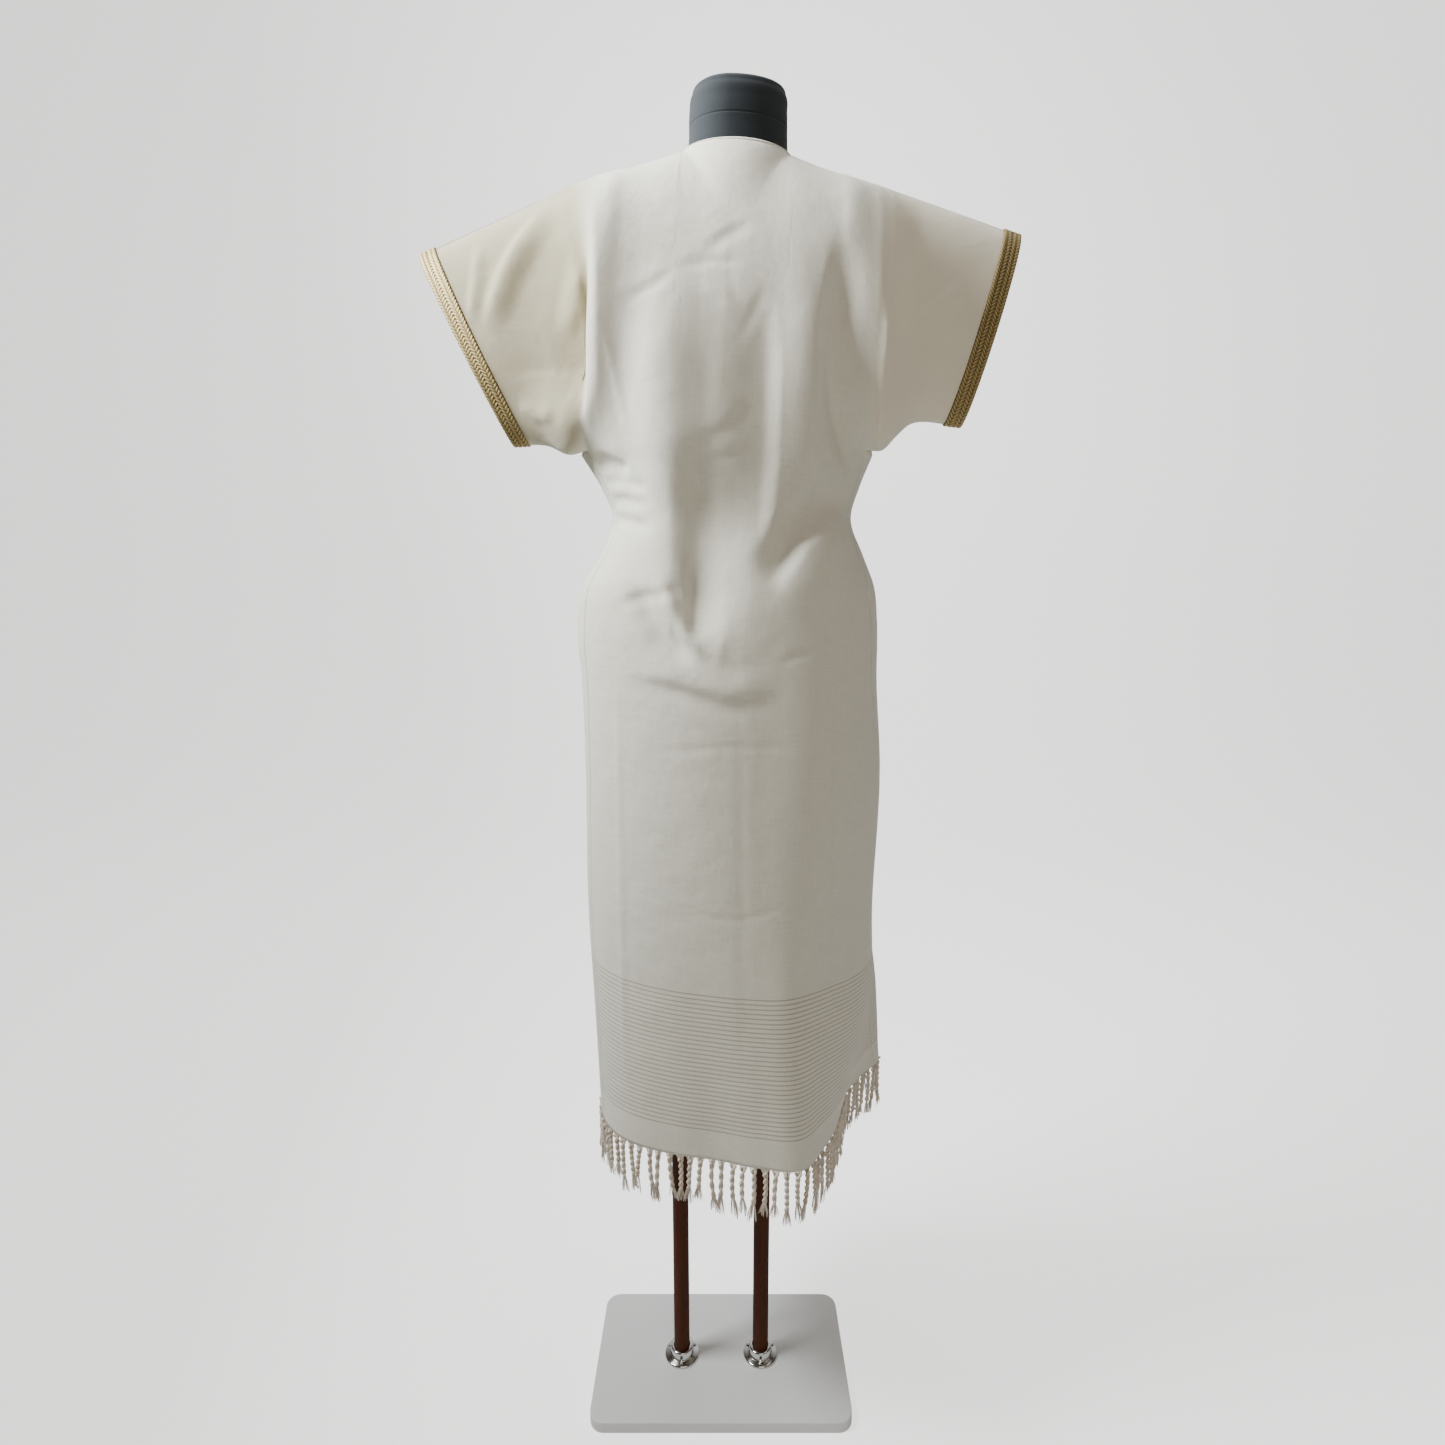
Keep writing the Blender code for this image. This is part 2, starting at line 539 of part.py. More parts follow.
def add_braid(name, panels, edge_column, inner_column, material):
    """A band round a cuff, made from both panels' cuff points moved out past the cloth."""
    back, front = panels["back"], panels["front"]
    stations = [("back", row) for row in range(UNDERARM_ROW, TOP_ROW)]
    stations += [("front", row) for row in range(TOP_ROW, UNDERARM_ROW, -1)]
    columns = sorted((edge_column, inner_column))
    points = {}
    normals = {}
    for station, (side, row) in enumerate(stations):
        for column in columns:
            source = back if side == "back" else front
            points[station, column] = source["points"][row, column]
            normals[station, column] = source["normals"][row, column]
    quads = []
    count = len(stations)
    low, high = columns
    for station, (side, _) in enumerate(stations):
        after = (station + 1) % count
        if side == "back":
            quads.append(((station, low), (station, high), (after, high), (after, low)))
        else:
            quads.append(((after, low), (station, low), (station, high), (after, high)))
    return add_wall(name, points, normals, quads, GAP, GAP + BRAID_THICKNESS, material)


def hem_stations(panel):
    """Outer points and normals along a panel's hem, as a function of the distance from its left seam."""
    points = part_of_row(panel, "points")
    normals = part_of_row(panel, "normals")
    flat = normals * (1, 1, 0)
    steps = np.linalg.norm(np.diff(points, axis=0), axis=1)
    along = np.concatenate(((0.0,), np.cumsum(steps)))

    def at(distance):
        place = np.array([np.interp(distance, along, points[:, axis]) for axis in range(3)])
        out = unit(np.array([np.interp(distance, along, flat[:, axis]) for axis in range(3)]))
        return place, out

    return at, along[-1]


def part_of_row(panel, key):
    return panel[key][0, LEFT_SEAM:RIGHT_SEAM + 1]


def add_fringe(name, panel, seed, material):
    """A narrow strip just under the hem, with a four-sided lock of threads drawn down from each root on it."""
    at, length = hem_stations(panel)
    chance = np.random.default_rng(seed)
    pitch = (length - 2 * GAP) / STRANDS
    vertices = []
    faces = []
    rings = []
    top = HEM_HEIGHT - GAP
    for strand in range(STRANDS):
        middle = GAP + pitch * (strand + 0.5)
        for side in (-1, 1):
            distance = middle + side * ROOT_WIDTH / 2
            if strand == 0 and side < 0:
                distance = GAP
            if strand == STRANDS - 1 and side > 0:
                distance = length - GAP
            outer, out = at(distance)
            inner = outer - out * CLOTH
            ring = len(vertices)
            bottom = top - STRIP_HEIGHT
            for point, height in ((outer, top), (inner, top), (inner, bottom), (outer, bottom)):
                vertices.append((point[0], point[1], height))
            rings.append(ring)
    for here, after in zip(rings, rings[1:]):
        for side in (0, 1, 3):
            step = (side + 1) % 4
            faces.append((here + side, here + step, after + step, after + side))
    faces.append(tuple(rings[0] + k for k in (3, 2, 1, 0)))
    faces.append(tuple(rings[-1] + k for k in (0, 1, 2, 3)))
    for strand in range(STRANDS):
        left, right = rings[2 * strand], rings[2 * strand + 1]
        root = (left + 3, right + 3, right + 2, left + 2)
        side = unit(np.array(vertices[right + 3]) - np.array(vertices[left + 3]))
        add_lock(vertices, faces, root, at(GAP + pitch * (strand + 0.5)), side, chance)
        if strand < STRANDS - 1:
            after = rings[2 * strand + 2]
            faces.append((right + 3, right + 2, after + 2, after + 3))
    piece = add_object(name, lift(vertices), faces, material, 40)
    recalculate(piece)
    return piece


def add_lock(vertices, faces, root, station, side, chance):
    """One lock below its root: rings of four points that sway, thicken at the knot and end in a blunt tip."""
    place, out = station
    length = FRINGE_LENGTH * chance.uniform(0.86, 1.0)
    sway = chance.uniform(-0.0035, 0.0035)
    lean = chance.uniform(-0.003, 0.003)
    centre = place - out * CLOTH / 2
    last = root
    for share, half_width, half_depth in LOCK_RINGS:
        middle_point = centre + side * sway * share ** 1.5 + out * lean * share ** 1.5
        height = HEM_HEIGHT - GAP - STRIP_HEIGHT - length * share
        ring = []
        for turn_side, turn_out in ((-1, 1), (1, 1), (1, -1), (-1, -1)):
            point = middle_point + side * turn_side * half_width + out * turn_out * half_depth
            ring.append(len(vertices))
            vertices.append((point[0], point[1], height))
        for k in range(4):
            step = (k + 1) % 4
            faces.append((last[k], last[step], ring[step], ring[k]))
        last = ring
    faces.append(tuple(last))


def recalculate(piece):
    """Make the faces agree, and turn them outwards by the sign of the volume that they close."""
    mesh = bmesh.new()
    mesh.from_mesh(piece.data)
    bmesh.ops.recalc_face_normals(mesh, faces=mesh.faces)
    if mesh.calc_volume(signed=True) < 0:
        bmesh.ops.reverse_faces(mesh, faces=mesh.faces)
    mesh.to_mesh(piece.data)
    mesh.free()


def oval_radius(turn, left, right, back, front):
    """Reach of four joined quarter ovals in each direction."""
    across = np.where(np.cos(turn) > 0, right, left)
    deep = np.where(np.sin(turn) > 0, front, back)
    return 1 / np.hypot(np.cos(turn) / across, np.sin(turn) / deep)


def form_bodies():
    """Rows of height, half width, back and front from the flat bottom over hips, waist and bust to the shoulders."""
    table = np.array(FORM_SECTIONS)
    rows = [np.array([height, *smooth(height, table[:, 0], table[:, 1:])]) for height in FORM_RINGS]
    end, start = SHOULDER_ENDS
    inner, outer = np.array(OVERARM_RIGHT[1]), np.array(OVERARM_RIGHT[2])
    slope = (outer[2] - inner[2]) / (outer[0] - inner[0])
    for half_width in np.linspace(end, start, 5):
        height = inner[2] + slope * (FORM_MIDDLE + half_width - inner[0]) - CLOTH - SHOULDER_CLEARANCE
        front = np.interp(half_width, (start, end), RIDGE_FRONT[::-1])
        rows.append(np.array((height, half_width, RIDGE_BACK, front)))
    rows.append(np.array((NECK_RINGS[0], start * 0.6, RIDGE_BACK, RIDGE_FRONT[1] / 2)))
    return rows


def add_form(material):
    """The limbless dress form: each ring blends the body's oval with the neck's, over a flat underside."""
    turn = np.arange(FORM_SIDES) * 2 * np.pi / FORM_SIDES
    neck = np.array(NECK_SECTIONS)
    bodies = form_bodies()
    bodies += [None] * (len(NECK_RINGS) - 1)
    heights = [body[0] for body in bodies if body is not None] + list(NECK_RINGS[1:])
    vertices = []
    for height, body in zip(heights, bodies):
        radius = np.zeros(FORM_SIDES)
        if body is not None:
            radius = oval_radius(turn, body[1], body[1], body[2], body[3])
        if height > neck[0, 0]:
            collar = oval_radius(turn, *smooth(height, neck[:, 0], neck[:, 1:]))
            radius = (radius ** BLEND_POWER + collar ** BLEND_POWER) ** (1 / BLEND_POWER)
        vertices.extend(np.stack((
            FORM_MIDDLE + radius * np.cos(turn),
            radius * np.sin(turn),
            np.full_like(turn, height),
        ), axis=-1))
    faces = []
    rings = len(heights)
    for ring in range(rings - 1):
        for side in range(FORM_SIDES):
            here = ring * FORM_SIDES + side
            beside = ring * FORM_SIDES + (side + 1) % FORM_SIDES
            faces.append((here, beside, beside + FORM_SIDES, here + FORM_SIDES))
    faces.append(tuple(reversed(range(FORM_SIDES))))
    last = (rings - 1) * FORM_SIDES
    faces.append(tuple(range(last, last + FORM_SIDES)))
    return add_object("dress_form", lift(vertices), faces, material, 60)


def add_turned(name, profile, sides, middle, material):
    """A closed profile of radius and height, turned about a vertical axis; radius 0 makes a pole."""
    vertices = []
    starts = []
    for radius, height in profile:
        starts.append(len(vertices))
        if radius == 0:
            vertices.append((middle[0], middle[1], height))
            continue
        for side in range(sides):
            turn = 2 * math.pi * side / sides
            vertices.append((middle[0] + radius * math.cos(turn), middle[1] + radius * math.sin(turn), height))
    faces = []
    closed = profile[0][0] > 0
    count = len(profile)
    for ring in range(count if closed else count - 1):
        low, high = starts[ring], starts[(ring + 1) % count]
        low_pole, high_pole = profile[ring][0] == 0, profile[(ring + 1) % count][0] == 0
        for side in range(sides):
            beside = (side + 1) % sides
            if low_pole:
                faces.append((low, high + beside, high + side))
            elif high_pole:
                faces.append((low + side, low + beside, high))
            else:
                faces.append((low + side, low + beside, high + beside, high + side))
    piece = add_object(name, lift(vertices), faces, material, 35)
    recalculate(piece)
    return piece


def add_stand(materials):
    """Poles, their chrome flanges with screws, and the base board."""
    for name, x in (("left", -POLE_SPACING / 2), ("right", POLE_SPACING / 2)):
        foot = GAP
        add_turned(
            name + "_pole",
            ((0, foot), (POLE_RADIUS, foot), (POLE_RADIUS, FORM_BOTTOM - GAP), (0, FORM_BOTTOM - GAP)),
            24, (x, 0.0), materials["pole"],
        )
        bore = POLE_RADIUS + POLE_CLEARANCE
        plate_top = GAP + FLANGE_PLATE
        collar_top = GAP + COLLAR_HEIGHT
        profile = (
            (bore, GAP), (FLANGE_PLATE_RADIUS - 0.0006, GAP), (FLANGE_PLATE_RADIUS, GAP + 0.0008),
            (FLANGE_PLATE_RADIUS - 0.0012, plate_top - 0.0004), (SCREW_CIRCLE - SCREW_RADIUS - 0.0001, plate_top),
            (COLLAR_RADIUS, plate_top + 0.0012), (COLLAR_RADIUS - 0.0006, collar_top - 0.0010),
            (COLLAR_RADIUS - 0.0016, collar_top), (bore, collar_top),
        )
        add_turned(name + "_flange", profile, 32, (x, 0.0), materials["chrome"])
        for number in range(3):
            turn = math.radians(-90 + 120 * number)
            middle = (x + SCREW_CIRCLE * math.cos(turn), SCREW_CIRCLE * math.sin(turn))
            seat = plate_top + GAP
            add_turned(
                "%s_flange_screw_%d" % (name, number + 1),
                ((0, seat), (SCREW_RADIUS, seat), (SCREW_RADIUS * 0.75, seat + 0.0012), (0, seat + 0.0018)),
                12, middle, materials["chrome"],
            )
        add_grub_screw(name + "_collar_screw", x, plate_top + 0.0066, materials["dark_steel"])
    width, depth, thickness = BOARD
    mesh = bmesh.new()
    bmesh.ops.create_cube(mesh, size=1.0)
    bmesh.ops.scale(mesh, vec=(width, depth, thickness), verts=mesh.verts)
    bmesh.ops.translate(mesh, vec=(0, 0, thickness / 2), verts=mesh.verts)
    upright = [edge for edge in mesh.edges if abs(edge.verts[0].co.z - edge.verts[1].co.z) > thickness / 2]
    bmesh.ops.bevel(mesh, geom=upright, offset=0.02, segments=6, affect="EDGES", profile=0.5)
    rim = [edge for edge in mesh.edges if min(vert.co.z for vert in edge.verts) > thickness * 0.99]
    bmesh.ops.bevel(mesh, geom=rim, offset=0.0015, segments=2, affect="EDGES", profile=0.5)
    data = bpy.data.meshes.new("base_board")
    mesh.to_mesh(data)
    mesh.free()
    data.shade_smooth()
    data.set_sharp_from_angle(angle=math.radians(35))
    data.materials.append(materials["board"])
    bpy.context.scene.collection.objects.link(bpy.data.objects.new("base_board", data))


def add_grub_screw(name, x, height, material):
    """A short hexagon-socket screw head standing just off the collar's front."""
    sides = 10
    start = -COLLAR_RADIUS - GAP
    vertices = []
    for y in (start, start - 0.0012):
        for side in range(sides):
            turn = 2 * math.pi * side / sides
            vertices.append((x + GRUB_RADIUS * math.cos(turn), y, height + GRUB_RADIUS * math.sin(turn)))
    faces = [tuple(range(sides)), tuple(reversed(range(sides, 2 * sides)))]
    for side in range(sides):
        beside = (side + 1) % sides
        faces.append((side, side + sides, beside + sides, beside))
    piece = add_object(name, lift(vertices), faces, material, 35)
    recalculate(piece)


def make_material(name, colour, roughness, metallic=0.0):
    material = bpy.data.materials.new(name)
    material.use_nodes = True
    shader = material.node_tree.nodes["Principled BSDF"]
    shader.inputs["Base Color"].default_value = (*colour, 1.0)
    shader.inputs["Roughness"].default_value = roughness
    shader.inputs["Metallic"].default_value = metallic
    material.diffuse_color = (*colour, 1.0)
    return material


def main():
    for piece in list(bpy.data.objects):
        bpy.data.objects.remove(piece, do_unlink=True)
    materials = {
        "cloth": make_material("ivory_cotton", (0.80, 0.75, 0.65), 0.9),
        "fringe": make_material("cotton_threads", (0.76, 0.69, 0.58), 0.95),
        "braid": make_material("gold_braid", (0.55, 0.42, 0.15), 0.45, 0.6),
        "form": make_material("slate_jersey", (0.035, 0.045, 0.055), 0.85),
        "pole": make_material("red_brown_wood", (0.20, 0.06, 0.035), 0.4),
        "chrome": make_material("chrome", (0.75, 0.74, 0.72), 0.12, 1.0),
        "dark_steel": make_material("dark_steel", (0.18, 0.18, 0.19), 0.35, 1.0),
        "board": make_material("white_lacquer", (0.86, 0.86, 0.85), 0.4),
    }
    panels, seam = cloth_panels()
    parted = part_seams(panels, seam)
    for name, panel in panels.items():
        add_wall(name + "_panel", parted[name], panel["normals"], panel["quads"], -CLOTH, 0.0, materials["cloth"])
        add_fringe(name + "_fringe", panel, FRINGE_SEED + len(name), materials["fringe"])
    add_braid("left_cuff_braid", panels, 0, 1, materials["braid"])
    add_braid("right_cuff_braid", panels, LAST_COLUMN, LAST_COLUMN - 1, materials["braid"])
    add_form(materials["form"])
    add_stand(materials)


main()
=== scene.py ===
# %% [markdown]
# # A kaftan dress on its stand
# A kaftan of this kind is two T-shaped pieces of striped cotton, sewn to each other along the shoulders, the
# sleeves and the sides. The cloth's own warp ends hang below the hem as a twisted fringe, and gold braid
# finishes the cuffs. A plain CAD model already has every piece at its true size. This lesson puts the finer
# cloth, the threads and the stand's fittings over it, and lights it like a studio photograph.

import math

import bpy
import numpy as np
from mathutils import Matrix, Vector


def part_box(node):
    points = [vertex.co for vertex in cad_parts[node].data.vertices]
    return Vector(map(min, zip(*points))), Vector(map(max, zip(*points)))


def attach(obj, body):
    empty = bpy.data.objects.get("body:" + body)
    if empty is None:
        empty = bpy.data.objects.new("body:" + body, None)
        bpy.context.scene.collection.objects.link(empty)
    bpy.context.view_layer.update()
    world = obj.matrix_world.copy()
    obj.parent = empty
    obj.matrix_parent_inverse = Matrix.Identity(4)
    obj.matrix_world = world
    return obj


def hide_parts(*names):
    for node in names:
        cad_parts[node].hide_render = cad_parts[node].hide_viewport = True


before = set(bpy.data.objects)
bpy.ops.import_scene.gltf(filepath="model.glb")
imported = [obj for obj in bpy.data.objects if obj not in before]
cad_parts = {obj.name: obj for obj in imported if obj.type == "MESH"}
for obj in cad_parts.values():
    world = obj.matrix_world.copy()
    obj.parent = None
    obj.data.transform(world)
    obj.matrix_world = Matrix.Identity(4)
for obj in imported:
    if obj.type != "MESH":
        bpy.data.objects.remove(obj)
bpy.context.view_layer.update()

# %% [markdown]
# ## Sizes that everything else follows
# Heights in the tables below are measured from the board that the stand is screwed to, as a dressmaker
# measures from the floor. The frame gives the board's top, so nothing floats if the board changes.

# %% Driving sizes
BOARD_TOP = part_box("base_board")[1][2]
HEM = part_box("back_panel")[0][2] - BOARD_TOP
SKIRT_TOP = 0.960
UNDERARM = 1.267
CLOTH = 0.0009            # the visible cloth's thickness
BRAID_WIDTH = 0.022
BRAID_THICKNESS = 0.0010
print("hem %.3f m above the board" % HEM)

# %% [markdown]
# ## Smooth curves through a few measures
# A tailor draws a curve through a few marked points. `smooth` does the same with a cubic between each pair of
# marks, and `ease` is the soft step from nothing to all that folds and hangs fade with. `read_along` reads
# values off a line at other distances, which is how braid, fringe and stitches find their place.

# %% Curve helpers
def ease(t):
    """0 to 1 with level ends: three t squared less two t cubed."""
    t = np.clip(t, 0.0, 1.0)
    return t * t * (3 - 2 * t)


def smooth(at, knots, values):
    """A cubic through the values at the knots, with the slope of its neighbours' parabola at each knot."""
    knots = np.asarray(knots, dtype=float)
    values = np.asarray(values, dtype=float)
    slopes = np.gradient(values, knots, axis=0)
    at = np.clip(np.asarray(at, dtype=float), knots[0], knots[-1])
    cell = np.clip(np.searchsorted(knots, at, side="right") - 1, 0, len(knots) - 2)
    span = knots[cell + 1] - knots[cell]
    t = (at - knots[cell]) / span
    if values.ndim == 2:
        span = span[..., None]
        t = t[..., None]
    start = (1 + 2 * t) * (1 - t) ** 2 * values[cell] + t * (1 - t) ** 2 * span * slopes[cell]
    end = t ** 2 * (3 - 2 * t) * values[cell + 1] + t ** 2 * (t - 1) * span * slopes[cell + 1]
    return start + end


def unit(vectors):
    """Vectors divided by their own length."""
    length = np.linalg.norm(vectors, axis=-1, keepdims=True)
    return vectors / np.where(length > 0, length, 1)


def distance_along(points):
    """Running length of a line of points, from 0 at its first point."""
    steps = np.linalg.norm(np.diff(points, axis=-2), axis=-1)
    return np.concatenate((np.zeros(steps.shape[:-1] + (1,)), np.cumsum(steps, axis=-1)), axis=-1)


def read_along(at, along, values):
    """Values known at places along a line, read at other places, straight in between."""
    return np.stack([np.interp(at, along, column) for column in values.T], axis=-1)


# %% [markdown]
# ## The tube of the dress
# Below the arms the dress is one tube of cloth round the body. At each height it reaches so far to the left,
# right, back and front, and its two side seams run down it at set directions. Near the hem the tube stops
# being an oval: the cloth hangs flat across the back, rounds a corner and sinks into a deep valley on the
# right, so a second table gives the hem's radius by direction as a share of the oval.

# %% The tube's tables
# height, left, right, back, front, direction of the left and of the right side seam in degrees, seam tuck
TUBE = np.array((
    (0.420, -0.160, 0.257, -0.143, 0.175, 198, 378, 0.00),
    (0.560, -0.167, 0.246, -0.142, 0.165, 197, 368, 0.00),
    (0.706, -0.173, 0.218, -0.141, 0.152, 196, 357, 0.00),
    (0.900, -0.171, 0.203, -0.140, 0.134, 196, 348, 0.00),
    (1.000, -0.172, 0.193, -0.137, 0.124, 197, 344, 0.00),
    (1.073, -0.175, 0.191, -0.132, 0.118, 197, 343, 0.00),
    (1.115, -0.168, 0.186, -0.127, 0.115, 197, 343, 0.00),
    (1.150, -0.147, 0.173, -0.122, 0.113, 196, 344, 0.01),
    (1.195, -0.131, 0.158, -0.117, 0.114, 195, 345, 0.02),
    (1.230, -0.143, 0.166, -0.118, 0.120, 196, 344, 0.00),
    (1.267, -0.166, 0.181, -0.121, 0.128, 197, 342, 0.00),
))
# direction in degrees (0 right, 90 front, 270 back), share of the oval's radius at the hem
HEM_HANG = np.array((
    (0, 0.63), (12, 0.78), (21, 1.00), (38, 1.04), (75, 0.99), (110, 1.03), (150, 0.98), (185, 1.03),
    (208, 1.06), (232, 0.97), (248, 0.93), (270, 0.985), (288, 1.03), (301, 0.88), (318, 0.73), (340, 0.610),
))
HANG_STARTS = 1.020       # height below which the tube leaves its oval
HANG_POWER = 2.2          # how late on the way down it does so
TUCK_WIDTH = 13.0         # degrees on each side of a seam that its tuck draws in


def hang_share(directions):
    """The hem's share of the oval: the table read round the circle, with a turn added at both ends."""
    turn = np.array((360.0, 0.0))
    table = np.vstack((HEM_HANG[-3:] - turn, HEM_HANG, HEM_HANG[:3] + turn))
    return smooth(np.mod(directions, 360.0), table[:, 0], table[:, 1])


def tube(heights, directions):
    """Points of the tube: the oval's radius, times the hang's share near the hem, less the seams' tucks.

    Oval: radius = 1 / hypot(cos / half width, sin / half depth), about the middle of the four reaches.
    """
    left, right, back, front, left_seam, right_seam, tuck = (
        smooth(heights, TUBE[:, 0], TUBE[:, k]) for k in range(1, 8)
    )
    turn = np.radians(directions)
    radius = 1 / np.hypot(np.cos(turn) / ((right - left) / 2), np.sin(turn) / ((front - back) / 2))
    hang = np.clip((HANG_STARTS - heights) / (HANG_STARTS - HEM), 0, 1) ** HANG_POWER
    radius = radius * (1 + (hang_share(directions) - 1) * hang)
    for seam in (left_seam, right_seam):
        away = (directions - seam + 180) % 360 - 180
        radius = radius * (1 - tuck * np.exp(-(away / TUCK_WIDTH) ** 2))
    x = (left + right) / 2 + radius * np.cos(turn)
    y = (back + front) / 2 + radius * np.sin(turn)
    return np.stack((x, y, heights + 0 * x), axis=-1)


# %% [markdown]
# ## The pattern on squared paper
# A paper pattern lies flat on squares. Here each panel's pattern has 24 squares between its side seams, 6 more
# for each sleeve, and 37 from hem to shoulder. A point of the cloth is named by how many squares it is across
# and up, and the next functions say where it hangs in space. The fine grid has a few rows and columns in each
# square, closer together at the neck, where the narrow hem is turned under.

# %% The pattern's squares
TORSO, SLEEVE, NECK = 24, 6, 8
SKIRT, WAIST, YOKE = 11, 13, 13
ARMPIT_ROW = SKIRT + WAIST
TOP = ARMPIT_ROW + YOKE
NECK_LEFT = (TORSO - NECK) / 2
NECK_RIGHT = NECK_LEFT + NECK
ARMPIT_FOLD = (2, 4)      # squares on the sleeve's and the torso's side over which an armpit's fold opens
FINE_STEPS = 400          # places tried along a line, to space columns evenly or to meet the neckline
NECKLINE_FROM = 0.4       # share of the yoke's height above which the neckline is looked for

SLEEVE_LINES = 8          # columns in each square of a sleeve
SHOULDER_LINES = 40       # columns over each shoulder
NECK_LINES = 44           # columns over the neck, closer together at its corners
SKIRT_LINES = 11          # rows in each square of the skirt
BODY_LINES = 6            # rows in each square above it
EDGE_LINES = 12           # rows in the top square, where the edge is turned under

across = np.concatenate((
    np.linspace(-SLEEVE, 0, SLEEVE_LINES * SLEEVE + 1)[:-1],
    np.linspace(0, NECK_LEFT, SHOULDER_LINES, endpoint=False),
    NECK_LEFT + NECK * (1 - np.cos(np.linspace(0, np.pi, NECK_LINES, endpoint=False))) / 2,
    np.linspace(NECK_RIGHT, TORSO, SHOULDER_LINES, endpoint=False),
    np.linspace(TORSO, TORSO + SLEEVE, SLEEVE_LINES * SLEEVE + 1),
))
up = np.concatenate((
    np.linspace(0, SKIRT, SKIRT_LINES * SKIRT + 1)[:-1],
    np.linspace(SKIRT, ARMPIT_ROW, BODY_LINES * WAIST + 1)[:-1],
    np.linspace(ARMPIT_ROW, TOP - 1, BODY_LINES * (YOKE - 1) + 1)[:-1],
    np.linspace(TOP - 1, TOP, EDGE_LINES),
))
torso_columns = np.flatnonzero((across >= 0) & (across <= TORSO))
armpit_row = int(np.searchsorted(up, ARMPIT_ROW))
print("fine grid of a panel: %d rows by %d columns" % (len(up), len(across)))

# %% [markdown]
# ## The seams in space
# The shoulder seam runs on along the top of the sleeve to the cuff, and the underarm seam from the armpit out.
# Each is a short line of measured points, and the pattern's columns are dealt out along it. The last square of
# a sleeve is kept exactly as wide as the braid.

# %% Seam lines
# x, y, height, from the neck outwards and from the armpit outwards
OVERARM_LEFT = np.array((
    (-0.043, -0.003, 1.5890), (-0.095, 0.000, 1.5745), (-0.170, 0.000, 1.5565), (-0.250, 0.000, 1.5250),
    (-0.346, 0.000, 1.4870),
))
OVERARM_RIGHT = np.array((
    (0.078, -0.003, 1.5855), (0.115, 0.000, 1.5725), (0.190, 0.000, 1.5550), (0.259, 0.000, 1.5340),
    (0.343, 0.000, 1.5080),
))
UNDERARM_LEFT = np.array(((-0.177, -0.031, 1.2650), (-0.203, -0.018, 1.2765), (-0.2465, -0.005, 1.2790)))
UNDERARM_RIGHT = np.array((
    (0.188, -0.033, 1.2700), (0.203, -0.026, 1.2850), (0.2200, -0.018, 1.3000), (0.285, -0.005, 1.3010),
))
NAPE = np.array((0.0205, -0.052, 1.5860))
FRONT_NECK = np.array((0.0180, 0.098, 1.4700))


def seam_line(points, shares):
    """Points at shares of the length of the smooth line through a seam's measured points."""
    along = distance_along(points)
    return smooth(np.asarray(shares) * along[-1], along, points)


def sleeve_shares(squares, length):
    """Share of a sleeve's length at a number of squares out: even up to the braid, which fills the last one."""
    return np.interp(squares, (0, SLEEVE - 1, SLEEVE), (0, 1 - BRAID_WIDTH / length, 1))


def top_edge(front):
    """The panel's top edge for every column: overarm and shoulder seams, and the neckline between them.

    Neckline: a straight line between the seams' inner ends, plus half an oval's bow to its middle point.
    """
    edge = np.zeros((len(across), 3))
    for points, outwards in ((OVERARM_LEFT, NECK_LEFT - across), (OVERARM_RIGHT, across - NECK_RIGHT)):
        steps = np.diff(distance_along(points))
        shoulder = steps[:2].sum() / steps.sum()
        out = outwards >= 0
        sleeve = shoulder + (1 - shoulder) * sleeve_shares(outwards[out] - NECK_LEFT, steps[2:].sum())
        shares = np.where(outwards[out] > NECK_LEFT, sleeve, shoulder * outwards[out] / NECK_LEFT)
        edge[out] = seam_line(points, shares)
    neck = (across > NECK_LEFT) & (across < NECK_RIGHT)
    share = ((across[neck] - NECK_LEFT) / NECK)[:, None]
    left, right = OVERARM_LEFT[0], OVERARM_RIGHT[0]
    bow = (FRONT_NECK if front else NAPE) - (left + right) / 2
    edge[neck] = left + (right - left) * share + bow * 2 * np.sqrt(share * (1 - share))
    return edge


def underarm_edge(torso_row):
    """The lower edge of yoke and sleeves: the torso's row, and the underarm seams beyond both its ends."""
    edge = np.zeros((len(across), 3))
    edge[torso_columns] = torso_row
    for start, points, outwards in (
        (torso_row[0], UNDERARM_LEFT, -across),
        (torso_row[-1], UNDERARM_RIGHT, across - TORSO),
    ):
        seam = np.vstack((start, points))
        out = outwards > 0
        edge[out] = seam_line(seam, sleeve_shares(outwards[out], distance_along(seam)[-1]))
    return edge


# %% [markdown]
# ## Hanging the plain panel
# Under the armpit row the cloth follows the tube, with its columns evenly spaced along each row, as threads
# are. Above it, a torso column climbs as a quarter of an oval from the tube to the shoulder, and a sleeve
# column as half an oval from the underarm to the overarm seam. Columns in between blend the two, which lays
# the soft fold from armpit to shoulder that a sleeve without an armhole seam has.

# %% The plain panel
CUFF_BELLY = 0.030        # how far a sleeve's columns belly out at the cuff
